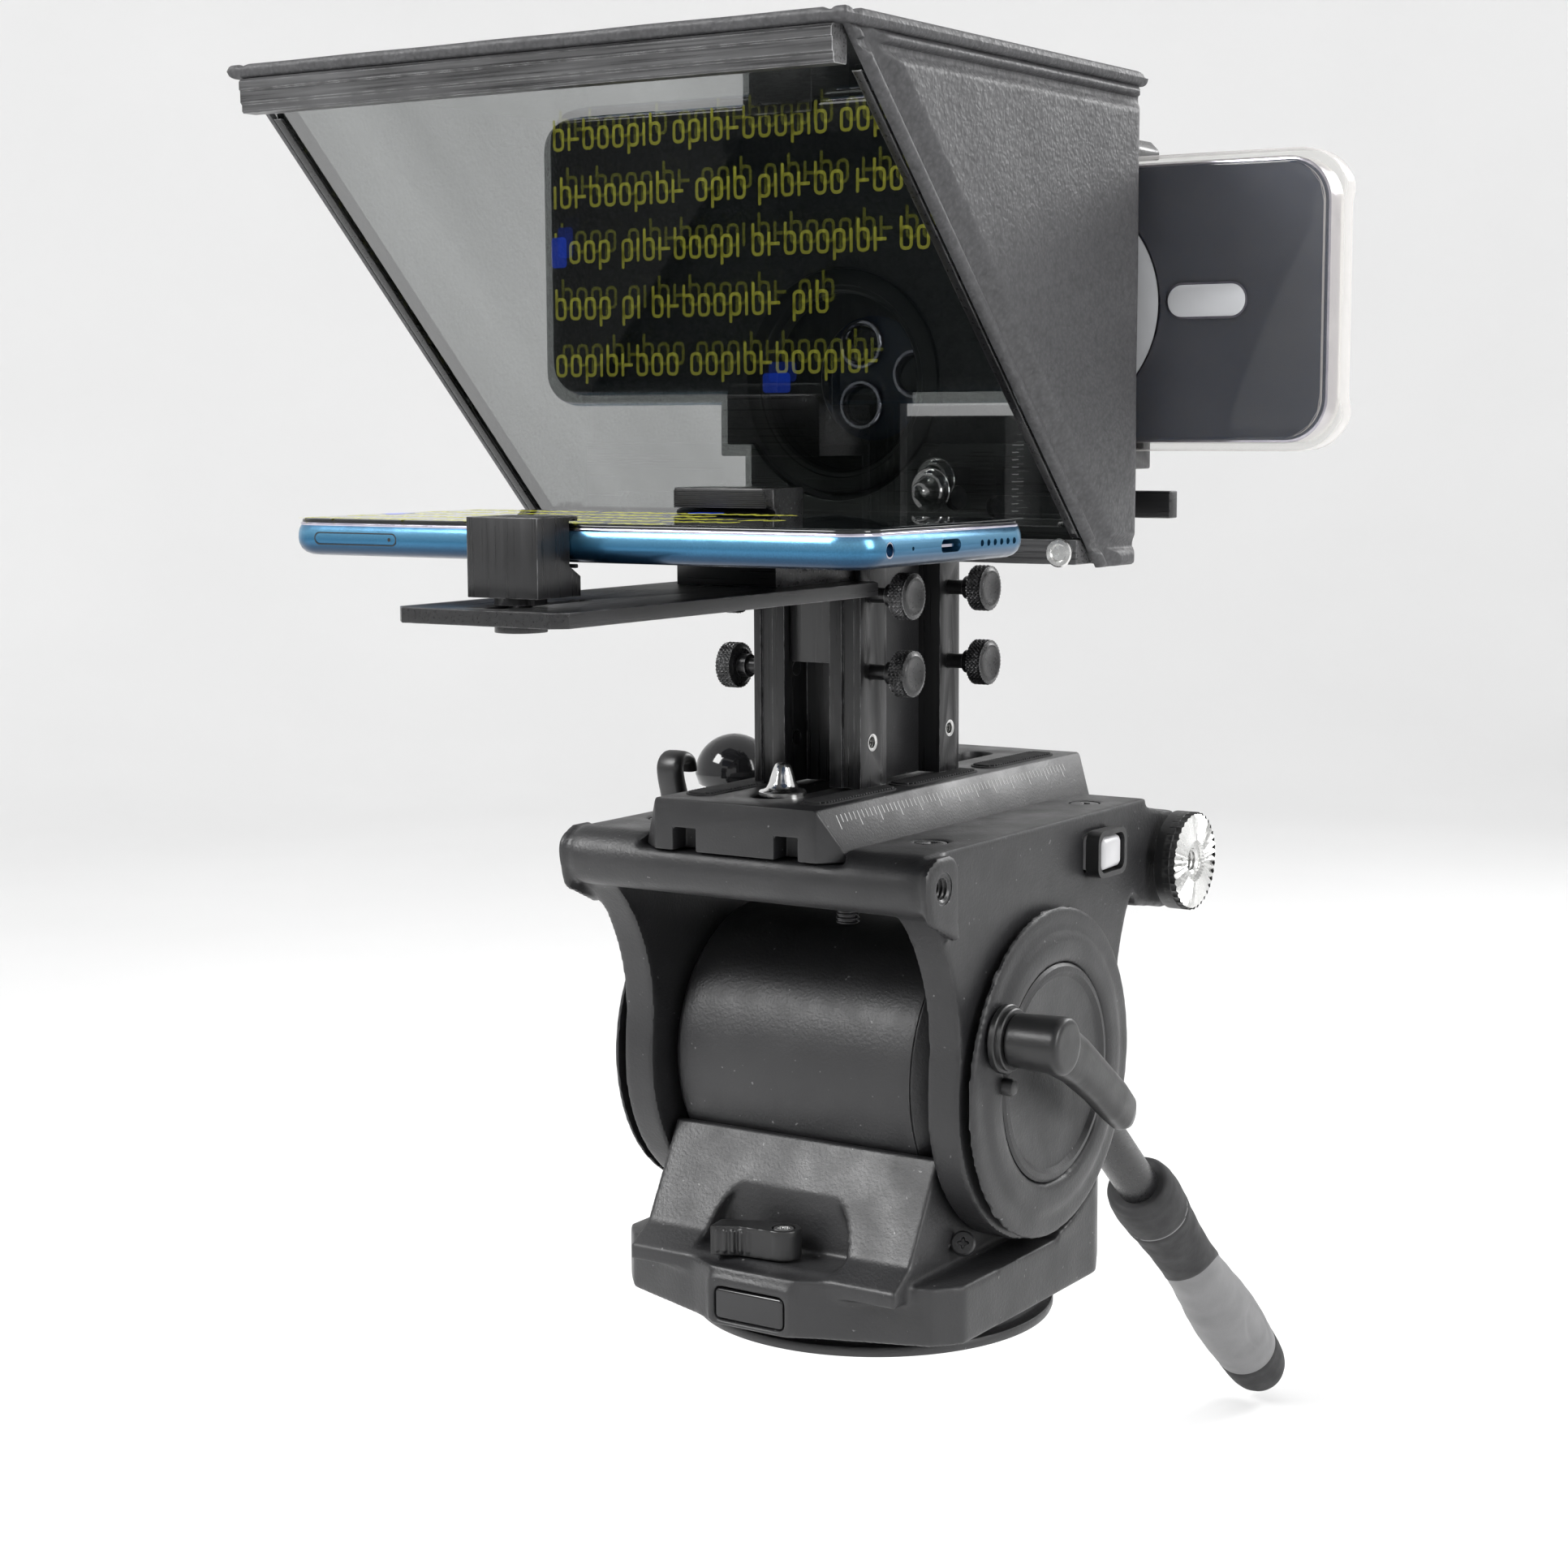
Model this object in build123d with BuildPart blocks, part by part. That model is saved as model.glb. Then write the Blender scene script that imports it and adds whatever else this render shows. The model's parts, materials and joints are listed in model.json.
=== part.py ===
from build123d import *
import os
from math import cos, radians, sin

os.makedirs("parts", exist_ok=True)

# A phone teleprompter on a video fluid head. Millimetres, +Z up. The origin is on the pan axis at the
# bottom of the head, the glass faces -Y towards the person who reads it, and +X is to that face's right.

# ---- driving dimensions: fluid head ----
tilt_z = 72.0                       # height of the tilt axis
base_r, base_h = 50.0, 8.0          # fixed base flange
tripod_thread_r = 3.97              # 3/8 inch thread, bore radius
slab_low, slab_top = 8.4, 24.0      # rotating pan housing's lower slab
drum_r, drum_left, drum_right = 38.0, -41.0, 41.5
arm_in, arm_out = 43.0, 52.5        # tilt cradle's arms, distance from the middle
arm_disc_r = 45.0
axle_r = 8.0
run_gap = 0.05                      # radial gap of a running fit
body_gap = 0.35                     # gap between pieces that slide past each other
saddle_top, saddle_front, saddle_rear = 138.0, -60.0, 62.0
roll_r, roll_z = 8.0, 130.0         # rounded front lip of the saddle
rosette_y, rosette_z = 75.0, 119.0
boss_r, boss_end, rosette_r, rosette_end = 14.0, 58.0, 13.5, 62.0
handle_x, handle_angle, handle_offset = -64.0, 42.0, 26.8
tube_r = 8.0
thread_r = 3.2                      # accessory and rosette threads, bore radius
knob_shank_r = 2.5                  # handle knob's screw
grip_r, grip_start, grip_split, grip_end = 13.0, 279.0, 339.0, 420.0
handle_length = 448.0
lock_y, lock_z = -30.0, 87.0        # tilt lock lever's axis
knob_x, knob_y, knob_z, knob_r = -62.0, 24.0, 138.4, 11.5   # plate clamp's knob, from its underside
flip_y, flip_z = -12.0, 131.0       # plate clamp flip lever

# ---- driving dimensions: slide plate and columns ----
plate_low, plate_top = 134.6, 148.0
plate_wide, plate_narrow = 31.5, 24.5
plate_front, plate_rear = -68.0, 75.0
column_half, column_low, column_high = 16.5, 148.8, 207.0
front_y0, front_y1 = -33.5, -20.5
web_half, web_y1 = 10.0, 7.5
rear_y1 = 18.0
slot_half, slot_floor = 7.0, 2.0
post_half, post_low = 6.65, 181.0
screw_heights = (179.0, 199.0)
screw_front_y, screw_rear_y = -27.5, 13.0
screw_shank_r, screw_head_r, screw_head_h = 2.0, 6.2, 5.2
screw_hole_r = 2.05

# ---- driving dimensions: tray, phones, hood ----
tray_half, tray_front, tray_rear, tray_low, tray_high = 24.0, -169.0, -34.0, 199.5, 203.0
phone_x0, phone_x1, phone_y0, phone_y1 = -77.0, 87.0, -147.0, -71.0
phone_low, phone_high = 212.5, 221.4
jaw_front, jaw_back, jaw_half, jaw_high = -159.0, -147.3, 10.0, 223.0
rear_jaw_half, rear_jaw_high = 15.0, 227.5
hood_half, hood_wall = 86.0, 3.5
hood_front, hood_rear, hood_low, hood_top_z = -152.0, -12.0, 208.0, 328.0
slope_sum = 176.0                   # y + z along the hood's sloped front edge
glass_sum, glass_t = 177.0, 2.0     # y + z on the glass's front face, and its thickness
aperture_z, aperture_r = 254.0, 25.0
camera_x0, camera_x1, camera_z0, camera_z1 = -17.0, 129.0, 238.0, 307.0
camera_y0, camera_y1 = 0.0, 7.8
case_wall = 2.0
clamp_x0, clamp_x1, clamp_y1 = 28.0, 76.0, 12.7
bar_x1, bar_y0, bar_y1, bar_z0, bar_z1 = 82.0, 11.8, 16.4, 218.5, 225.5


def finish(builder, label):
    """Labels a finished piece and writes its file."""
    builder.part.label = label
    export_step(builder.part, f"parts/{label}.step")


def block(x, y, z):
    """A private box given by its low and high X, Y and Z."""
    size = (x[1] - x[0], y[1] - y[0], z[1] - z[0])
    middle = ((x[0] + x[1]) / 2, (y[0] + y[1]) / 2, (z[0] + z[1]) / 2)
    return Pos(*middle) * Box(*size, mode=Mode.PRIVATE)


def rod_x(x0, x1, y, z, radius):
    """A private cylinder along X."""
    turned = Rot(0, 90, 0) * Cylinder(radius, x1 - x0, mode=Mode.PRIVATE)
    return Pos((x0 + x1) / 2, y, z) * turned


def side_plane(x):
    """A plane at x whose sketch axes are the object's Y and Z, extruding towards +X."""
    return Plane((x, 0, 0), x_dir=(0, 1, 0), z_dir=(1, 0, 0))


# ================= base and pan housing =================

with BuildPart() as base_ring:
    with BuildSketch(Plane.XY):
        Circle(base_r)
    extrude(amount=3)
    with BuildSketch(Plane.XY.offset(3)):
        Circle(base_r - 3)
    extrude(amount=base_h - 3)
    with BuildSketch(Plane.XY.offset(base_h)):
        Circle(20)
    extrude(amount=9)
    with BuildSketch(Plane.XY):
        Circle(tripod_thread_r)
    extrude(amount=14, mode=Mode.SUBTRACT)
    chamfer(base_ring.edges().filter_by(GeomType.CIRCLE).group_by(Axis.Z)[0].sort_by(SortBy.RADIUS)[-1], 0.8)
finish(base_ring, "base_ring")

with BuildPart() as pan_bearing:
    with BuildSketch(Plane.XY.offset(base_h + 0.5)):
        Circle(27)
        Circle(20 + run_gap, mode=Mode.SUBTRACT)
    extrude(amount=8)
finish(pan_bearing, "pan_bearing")

scoop_r = arm_disc_r + 2.0
nose_half, nose_y = 12.5, -62.0
front_points = [(nose_half, nose_y), (20, -58.5), (47, -49), (53, -42)]
rear_points = [(54, 30), (46, 47), (0, 51)]


def mirrored(points):
    """A closed outline from the points of its right half."""
    return points + [(-x, y) for x, y in reversed(points) if x > 0]


with BuildPart() as pan_housing:
    with BuildSketch(Plane.XY.offset(slab_low)) as slab:
        with BuildLine():
            Polyline(*mirrored(front_points + rear_points), close=True)
        make_face()
        fillet(slab.vertices().filter_by(lambda v: v.Y > 0), 9)
    extrude(amount=slab_top - slab_low)
    with BuildSketch(Plane.XY.offset(slab_top)) as rear_wall:
        with BuildLine():
            Polyline(*mirrored([(54, 8)] + rear_points), close=True)
        make_face()
        fillet(rear_wall.vertices().filter_by(lambda v: v.Y > 20), 9)
    extrude(amount=20)
    with BuildSketch(side_plane(-drum_right)):
        with BuildLine():
            Polyline((-58, 20), (-58, slab_top), (-50, 29), (-36, 54), (36, 54), (46, 40), (46, 20),
                     close=True)
        make_face()
    extrude(amount=2 * drum_right)
    add(rod_x(drum_left - 3, drum_right + 3, 0, tilt_z, drum_r), mode=Mode.SUBTRACT)
    for low, high in ((-60, drum_left - 0.4), (drum_right + 0.4, 60)):
        add(rod_x(low, high, 0, tilt_z, scoop_r), mode=Mode.SUBTRACT)
    # Half-moon recess for the pan lock, open to the front.
    with BuildSketch(Plane((0, -70, slab_top + 1.5), x_dir=(1, 0, 0), z_dir=(0, 1, 0))):
        Circle(22)
        with Locations((0, 12)):
            Rectangle(60, 24, mode=Mode.SUBTRACT)
    extrude(amount=27, mode=Mode.SUBTRACT)
    with BuildSketch(Plane.XY.offset(slab_low)):
        Circle(27)
    extrude(amount=base_h + 9.6 - slab_low, mode=Mode.SUBTRACT)
    # Pocket for the level window in the nose.
    add(block((-11, 11), (nose_y - 1, nose_y + 2), (10, 19)), mode=Mode.SUBTRACT)
    with Locations((3.4, -51, slab_top - 8)):
        Cylinder(1.8, 20, align=(Align.CENTER, Align.CENTER, Align.MIN), mode=Mode.SUBTRACT)
finish(pan_housing, "pan_housing")

with BuildPart() as level_window:
    add(block((-11, 11), (nose_y - 0.4, nose_y + 2), (10, 19)))
finish(level_window, "level_window")

with BuildPart() as pan_lock_lever:
    with BuildSketch(Plane.XY.offset(slab_top + 2)):
        with Locations((3.4, -51)):
            Circle(4.6)
        with BuildLine():
            Polyline((3, -55.6), (-7, -56.5), (-14, -60), (-15, -53), (-8, -49.5), (3, -46.6), close=True)
        make_face()
    extrude(amount=8)
    with Locations((3.4, -51, slab_top + 5)):
        Cylinder(1.8 + run_gap, 20, mode=Mode.SUBTRACT)
    with Locations((3.4, -51, slab_top + 10)):
        Cylinder(3.2, 3, mode=Mode.SUBTRACT)
finish(pan_lock_lever, "pan_lock_lever")

with BuildPart() as pan_lock_screw:
    with Locations((3.4, -51, slab_top - 8)):
        Cylinder(1.8, 16.8, align=(Align.CENTER, Align.CENTER, Align.MIN))
    with Locations((3.4, -51, slab_top + 8.6)):
        Cylinder(3.0, 1.8, align=(Align.CENTER, Align.CENTER, Align.MIN))
    with BuildSketch(Plane.XY.offset(slab_top + 9.2)):
        with Locations((3.4, -51)):
            RegularPolygon(1.3, 6)
    extrude(amount=2, mode=Mode.SUBTRACT)
finish(pan_lock_screw, "pan_lock_screw")

# ================= tilt drum =================

with BuildPart() as drag_drum:
    add(rod_x(drum_left, drum_right, 0, tilt_z, drum_r))
    chamfer(drag_drum.edges().filter_by(GeomType.CIRCLE).sort_by(Axis.X)[0], 2)
    chamfer(drag_drum.edges().filter_by(GeomType.CIRCLE).sort_by(Axis.X)[-1], 7)
    add(rod_x(drum_left - 1, drum_right + 1, 0, tilt_z, axle_r + run_gap), mode=Mode.SUBTRACT)
finish(drag_drum, "drag_drum")

with BuildPart() as tilt_axle:
    add(rod_x(-arm_in, arm_in, 0, tilt_z, axle_r))
finish(tilt_axle, "tilt_axle")

# ================= tilt cradle =================


def arm_face(x):
    """One arm's outline at x: a disc that flares up to the saddle, with an ear for the rosette."""
    neck = arm_disc_r - 0.7
    with BuildSketch(side_plane(x)) as face:
        with BuildLine():
            ThreePointArc((-neck, tilt_z + 8), (-47, tilt_z + 30), (-60, 122))
            Polyline((-60, 122), (-64, 132), (62, 132), (62, 122))
            ThreePointArc((62, 122), (48, tilt_z + 30), (neck, tilt_z + 8))
            Line((neck, tilt_z + 8), (-neck, tilt_z + 8))
        make_face()
        with Locations((0, tilt_z)):
            Circle(arm_disc_r)
        with Locations((rosette_y, rosette_z)):
            Circle(boss_r)
        with BuildLine():
            Polyline((55, 137), (rosette_y + 4, rosette_z + 13), (rosette_y - 3, rosette_z - 13.5),
                     (56, 108), (50, 120), close=True)
        make_face()
    return face.sketch


def saddle_profile(x):
    """The saddle's side outline at x: a slab with a rounded front lip."""
    with BuildSketch(side_plane(x)) as profile:
        with BuildLine():
            Polyline((saddle_front, saddle_low), (saddle_front, saddle_top), (saddle_rear, saddle_top),
                     (saddle_rear, saddle_low + 4), (saddle_rear - 22, saddle_low), close=True)
        make_face()
        with Locations((saddle_front, roll_z)):
            Circle(roll_r)
    return profile.sketch


def button_slot():
    """Cuts the safety button's slot through the right side, inside the current part."""
    add(block((arm_out - 6, arm_out + 1), (button_y - 7.3, button_y + 7.3), (button_z - 5.3, button_z + 5.3)),
        mode=Mode.SUBTRACT)


saddle_low = 123.0
button_y, button_z = 31.0, 127.0
channel_gap = body_gap + 0.05
screw_spots = [(x, y) for x in (-41.5, 41.5) for y in (-40, 45)]
with BuildPart() as cradle_arms:
    for side_x in (arm_in, -arm_out):
        extrude(arm_face(side_x), amount=arm_out - arm_in)
    extrude(saddle_profile(-arm_out - 1), amount=2 * arm_out + 2, mode=Mode.SUBTRACT)
    # Recess behind each arm cap.
    for low, high in ((arm_out - 2.5, arm_out + 1), (-arm_out - 1, -arm_out + 2.5)):
        add(rod_x(low, high, 0, tilt_z, 30), mode=Mode.SUBTRACT)
    # Bores behind the rosettes: a thread on the right, the handle knob's screw on the left.
    add(rod_x(arm_in - 1, arm_out + 1, rosette_y, rosette_z, thread_r), mode=Mode.SUBTRACT)
    add(rod_x(-arm_out - 1, -arm_in + 1, rosette_y, rosette_z, knob_shank_r + run_gap), mode=Mode.SUBTRACT)
    button_slot()
    # Bore of the tilt lock, through the right arm, and its stop pin.
    add(rod_x(arm_in - 1, arm_out + 1, lock_y, lock_z, 3.0 + run_gap), mode=Mode.SUBTRACT)
    add(rod_x(arm_out - 2, arm_out + 4, lock_y, lock_z - 12.5, 2.4))
finish(cradle_arms, "cradle_arms")

with BuildPart() as cradle_saddle:
    extrude(saddle_profile(-arm_out), amount=2 * arm_out)
    # Dovetail channel for the slide plate.
    lean = (plate_wide - plate_narrow) / (plate_top - plate_low)
    foot = plate_wide + channel_gap
    rise = saddle_top + 2 - (plate_low - body_gap)
    with BuildSketch(Plane.XZ.offset(-saddle_rear - 5)):
        with BuildLine():
            Polyline((-foot, plate_low - body_gap), (foot, plate_low - body_gap),
                     (foot - rise * lean, saddle_top + 2), (-foot + rise * lean, saddle_top + 2), close=True)
        make_face()
    extrude(amount=saddle_rear - saddle_front + 30, mode=Mode.SUBTRACT)
    # The accessory threads and the four flange screw pockets.
    for low, high in ((arm_out - 12, arm_out + 1), (-arm_out - 1, -arm_out + 12)):
        add(rod_x(low, high, saddle_front, roll_z, thread_r), mode=Mode.SUBTRACT)
    with Locations(*[(x, y, saddle_top) for x, y in screw_spots]):
        Cylinder(4.2, 3, mode=Mode.SUBTRACT)
        Cylinder(2.0, 20, mode=Mode.SUBTRACT)
    button_slot()
    # The plate clamp on the left: a bore for the flip lever, and an ear that carries the knob.
    add(rod_x(-arm_out - 1, -arm_out + 10, flip_y, flip_z, 3.0 + run_gap), mode=Mode.SUBTRACT)
    add(block((knob_x - 6, -arm_out + 1), (knob_y - 8, knob_y + 8), (knob_z - 12, knob_z - 0.4)))
    with Locations((knob_x, knob_y, knob_z)):
        Cylinder(3 + run_gap, 40, mode=Mode.SUBTRACT)
finish(cradle_saddle, "cradle_saddle")

with BuildPart() as arm_caps:
    for low, high in ((arm_out - 2.5, arm_out), (-arm_out, -arm_out + 2.5)):
        add(rod_x(low, high, 0, tilt_z, 30))
    rims = arm_caps.edges().filter_by(GeomType.CIRCLE).sort_by(Axis.X)
    chamfer([rims[0], rims[-1]], 1.6)
    # The right cap is cut back round the lock lever's collar.
    add(rod_x(arm_out - 4, arm_out + 1, lock_y, lock_z, 9.6), mode=Mode.SUBTRACT)
    add(rod_x(arm_out - 4, arm_out + 1, lock_y, lock_z - 12.5, 2.6), mode=Mode.SUBTRACT)
finish(arm_caps, "arm_caps")

with BuildPart() as saddle_screws:
    with Locations(*[(x, y, saddle_top - 1.5) for x, y in screw_spots]):
        Cylinder(4.0, 1.2, align=(Align.CENTER, Align.CENTER, Align.MIN))
        Cylinder(2.0, 8, align=(Align.CENTER, Align.CENTER, Align.MAX))
    with BuildSketch(Plane.XY.offset(saddle_top - 1)):
        with Locations(*screw_spots):
            RegularPolygon(1.8, 6)
    extrude(amount=2, mode=Mode.SUBTRACT)
finish(saddle_screws, "saddle_screws")

# ---- tilt lock lever ----
with BuildPart() as tilt_lock_collar:
    add(rod_x(arm_out + 0.3, arm_out + 4, lock_y, lock_z, 9))
    add(rod_x(arm_in, arm_out + 0.5, lock_y, lock_z, 3.0))
    chamfer(tilt_lock_collar.edges().filter_by(GeomType.CIRCLE).sort_by(Axis.X)[-1], 1)
finish(tilt_lock_collar, "tilt_lock_collar")

blade_y, blade_z = 50.0, -29.0      # from the lever's hub to its tip
with BuildPart() as tilt_lock_lever:
    add(rod_x(arm_out + 4, 72, lock_y, lock_z, 7))
    with BuildSketch(side_plane(63)):
        with BuildLine():
            Polyline((lock_y - 2, lock_z + 7), (lock_y + 10, lock_z + 4),
                     (lock_y + blade_y, lock_z + blade_z + 4), (lock_y + blade_y - 6, lock_z + blade_z - 5),
                     (lock_y + 22, lock_z - 19), (lock_y - 3, lock_z - 6.5), close=True)
        make_face()
    extrude(amount=9)
    fillet(tilt_lock_lever.edges().filter_by(Axis.X).sort_by(Axis.Y)[-2:], 4)
    add(rod_x(68, 73, lock_y, lock_z, 4), mode=Mode.SUBTRACT)
finish(tilt_lock_lever, "tilt_lock_lever")

with BuildPart() as tilt_lock_screw:
    add(rod_x(68, 70.5, lock_y, lock_z, 3.4))
    with BuildSketch(side_plane(69)):
        with Locations((lock_y, lock_z)):
            RegularPolygon(1.6, 6)
    extrude(amount=3, mode=Mode.SUBTRACT)
finish(tilt_lock_screw, "tilt_lock_screw")

with BuildPart() as safety_button:
    with BuildSketch(side_plane(arm_out - 3)):
        with Locations((button_y, button_z)):
            RectangleRounded(13.8, 9.8, 2.5)
    extrude(amount=8.5)
    chamfer(safety_button.faces().sort_by(Axis.X)[-1].edges(), 1.5)
finish(safety_button, "safety_button")

# ---- rosettes: from each side's inner and outer X, and the radius of its bore ----
groove_count, groove_w = 18, 1.3    # V grooves right across each rosette's face
recess, recess_r = 1.5, 5.4         # round recess in the middle of each face
bore_left = knob_shank_r + run_gap
with BuildPart() as rosette_bosses:
    for low, high, bore in ((arm_out, boss_end, thread_r), (-boss_end, -arm_out, bore_left)):
        add(rod_x(low, high, rosette_y, rosette_z, boss_r))
        add(rod_x(low - 1, high + 1, rosette_y, rosette_z, bore), mode=Mode.SUBTRACT)
finish(rosette_bosses, "rosette_bosses")

with BuildPart() as rosettes:
    for low, high, face, bore in ((boss_end, rosette_end, rosette_end, thread_r),
                                  (-rosette_end, -boss_end, -rosette_end, bore_left)):
        add(rod_x(low, high, rosette_y, rosette_z, rosette_r))
        add(rod_x(low - 1, high + 1, rosette_y, rosette_z, bore), mode=Mode.SUBTRACT)
        add(rod_x(face - recess, face + recess, rosette_y, rosette_z, recess_r), mode=Mode.SUBTRACT)
        for turn in range(groove_count):
            ridge = Rot(0, 0, 45) * Box(groove_w, groove_w, 60, mode=Mode.PRIVATE)
            bar = Rot(180 * turn / groove_count, 0, 0) * ridge
            add(Pos(face, rosette_y, rosette_z) * bar, mode=Mode.SUBTRACT)
finish(rosettes, "rosettes")

# ---- plate clamp ----
with BuildPart() as plate_clamp_lever:
    add(rod_x(-arm_out + 0.3 - 9, -arm_out + 8, flip_y, flip_z, 3.0))
    add(rod_x(-62, -arm_out - 0.3, flip_y, flip_z, 6.5))
    with BuildSketch(side_plane(-62)):
        with BuildLine():
            Polyline((flip_y - 4, flip_z), (flip_y - 6, flip_z + 21), (flip_y + 6, flip_z + 21),
                     (flip_y + 4, flip_z), close=True)
        make_face()
    extrude(amount=9)
    fillet(plate_clamp_lever.edges().filter_by(Axis.X).sort_by(Axis.Z)[-2:], 4)
finish(plate_clamp_lever, "plate_clamp_lever")

with BuildPart() as clamp_knob:
    with BuildSketch(Plane((knob_x, knob_y, knob_z), x_dir=(1, 0, 0), z_dir=(0, -1, 0))):
        with BuildLine():
            Polyline((0, 0), (knob_r - 1, 0), (knob_r, 3.5))
            dome = knob_r * sin(radians(45))
            ThreePointArc((knob_r, 3.5), (dome, 3.5 + dome), (0, 3.5 + knob_r))
            Line((0, 3.5 + knob_r), (0, 0))
        make_face()
    revolve(axis=Axis((knob_x, knob_y, 0), (0, 0, 1)))
    with Locations((knob_x, knob_y, knob_z)):
        Cylinder(3, 10, align=(Align.CENTER, Align.CENTER, Align.MAX))
finish(clamp_knob, "clamp_knob")


# ================= pan handle =================

# The handle's own plane: its X runs down the tube from the point nearest the rosette's axis.
run_y, run_z = cos(radians(handle_angle)), -sin(radians(handle_angle))
start_y = rosette_y + handle_offset * sin(radians(handle_angle))
start_z = rosette_z + handle_offset * cos(radians(handle_angle))


def handle_plane(along):
    """A plane across the handle, this far down the tube from its nearest point to the rosette."""
    origin = (handle_x, start_y + along * run_y, start_z + along * run_z)
    return Plane(origin, x_dir=(1, 0, 0), z_dir=(0, run_y, run_z))


def handle_span(low, high, radius, end_radius=None):
    """A round length of the handle, straight or tapered, inside the current part."""
    with BuildSketch(handle_plane(low)) as near:
        Circle(radius)
    if end_radius is None:
        extrude(near.sketch, amount=high - low)
        return
    with BuildSketch(handle_plane(high)) as far:
        Circle(end_radius)
    loft([near.sketch, far.sketch])


clamp_side = -rosette_end - body_gap
socket_floor = 10.0
with BuildPart() as handle_clamp:
    add(rod_x(clamp_side - 9, clamp_side, rosette_y, rosette_z, 15))
    with BuildSketch(side_plane(clamp_side - 9)):
        with BuildLine():
            Polyline((rosette_y - 11, rosette_z + 10), (start_y + 2, start_z + 10),
                     (start_y + 24, start_z - 12), (start_y + 8, start_z - 30),
                     (rosette_y + 8, rosette_z - 12), close=True)
        make_face()
    extrude(amount=9)
    handle_span(4, 44, 11)
    with BuildSketch(handle_plane(socket_floor)) as bore:
        Circle(tube_r)
    extrude(bore.sketch, amount=60, mode=Mode.SUBTRACT)
    bore_r = knob_shank_r + run_gap
    add(rod_x(clamp_side - 20, clamp_side + 1, rosette_y, rosette_z, bore_r), mode=Mode.SUBTRACT)
finish(handle_clamp, "handle_clamp")

with BuildPart() as handle_knob:
    add(rod_x(clamp_side - 24, clamp_side - 9.3, rosette_y, rosette_z, 11))
    chamfer(handle_knob.edges().filter_by(GeomType.CIRCLE).sort_by(Axis.X)[0], 2)
    add(rod_x(clamp_side - 12, -arm_in - 1.5, rosette_y, rosette_z, knob_shank_r))
finish(handle_knob, "handle_knob")

with BuildPart() as handle_tube:
    handle_span(socket_floor, grip_start + 40, tube_r)
finish(handle_tube, "handle_tube")

with BuildPart() as handle_sleeve:
    handle_span(grip_start, grip_start + 12, grip_r - 1.5, grip_r + 0.5)
    handle_span(grip_start + 12, grip_split, grip_r + 0.5, grip_r - 2)
    with BuildSketch(handle_plane(grip_start - 1)) as bore:
        Circle(tube_r)
    extrude(bore.sketch, amount=41, mode=Mode.SUBTRACT)
finish(handle_sleeve, "handle_sleeve")

with BuildPart() as handle_grip:
    handle_span(grip_split, grip_split + 45, grip_r - 2, grip_r + 1)
    handle_span(grip_split + 45, grip_end, grip_r + 1, grip_r)
finish(handle_grip, "handle_grip")

with BuildPart() as handle_cap:
    handle_span(grip_end, handle_length, grip_r)
    fillet(handle_cap.edges().filter_by(GeomType.CIRCLE).sort_by(Axis.Z)[0], 10)
finish(handle_cap, "handle_cap")

# ================= slide plate and its fittings =================

corner = 6.0
slot_y0, slot_y1 = -56.0, 62.0
with BuildPart() as slide_plate:
    with BuildSketch(Plane.XZ.offset(-plate_rear)):
        with BuildLine():
            Polyline((-plate_wide, plate_low), (plate_wide, plate_low), (plate_narrow, plate_top),
                     (-plate_narrow, plate_top), close=True)
        make_face()
    extrude(amount=plate_rear - plate_front)
    # The corners are cut in plan.
    with BuildSketch(Plane.XY.offset(plate_low)):
        with BuildLine():
            Polyline(*mirrored([(plate_narrow, plate_front), (plate_wide, plate_front + corner),
                                (plate_wide, plate_rear - corner), (plate_narrow, plate_rear)]), close=True)
        make_face()
    extrude(amount=plate_top - plate_low, mode=Mode.INTERSECT)
    # Camera screw slot, wider below for the screw's head.
    with BuildSketch(Plane.XY.offset(plate_low)):
        with Locations((0, (slot_y0 + slot_y1) / 2)):
            SlotOverall(slot_y1 - slot_y0, 10.0, rotation=90)
    extrude(amount=20, mode=Mode.SUBTRACT)
    with BuildSketch(Plane.XY.offset(plate_low)):
        with Locations((0, (slot_y0 + slot_y1) / 2)):
            SlotOverall(slot_y1 - slot_y0 + 8, 18.0, rotation=90)
    extrude(amount=6, mode=Mode.SUBTRACT)
    # Square notches under the front and rear edges.
    for side_x in (-19, 12):
        add(block((side_x, side_x + 7), (plate_front - 1, plate_front + 6), (plate_low - 1, plate_low + 6)),
            mode=Mode.SUBTRACT)
        add(block((side_x, side_x + 7), (plate_rear - 6, plate_rear + 1), (plate_low - 1, plate_low + 6)),
            mode=Mode.SUBTRACT)
finish(slide_plate, "slide_plate")

pad_length, pad_width, pad_x = 39.0, 8.6, 17.6
with BuildPart() as plate_pads:
    with BuildSketch(Plane.XY.offset(plate_top)):
        with Locations(*[(x, y) for x in (-pad_x, pad_x) for y in (-41, 2.5, 47)]):
            SlotOverall(pad_length, pad_width, rotation=90)
    extrude(amount=column_low - plate_top)
finish(plate_pads, "plate_pads")

pin_x, pin_y = 1.5, -47.5
with BuildPart() as locating_pin:
    with BuildSketch(Plane((pin_x, pin_y, plate_top), x_dir=(1, 0, 0), z_dir=(0, -1, 0))):
        with BuildLine():
            Polyline((0, 0), (6.2, 0), (6.2, 1.2), (4.4, 1.8), (3.6, 3.2), (2.4, 7.6), (1.6, 8.6), (0, 8.6),
                     close=True)
        make_face()
    revolve(axis=Axis((pin_x, pin_y, 0), (0, 0, 1)))
    with Locations((pin_x, pin_y, plate_top)):
        Cylinder(2.6, 9, align=(Align.CENTER, Align.CENTER, Align.MAX))
finish(locating_pin, "locating_pin")

with BuildPart() as camera_screw:
    with Locations((0, -6.5, plate_low + 2)):
        Cylinder(8.5, 3.8, align=(Align.CENTER, Align.CENTER, Align.MIN))
        Cylinder(3.17, 24, align=(Align.CENTER, Align.CENTER, Align.MIN))
finish(camera_screw, "camera_screw")

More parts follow.
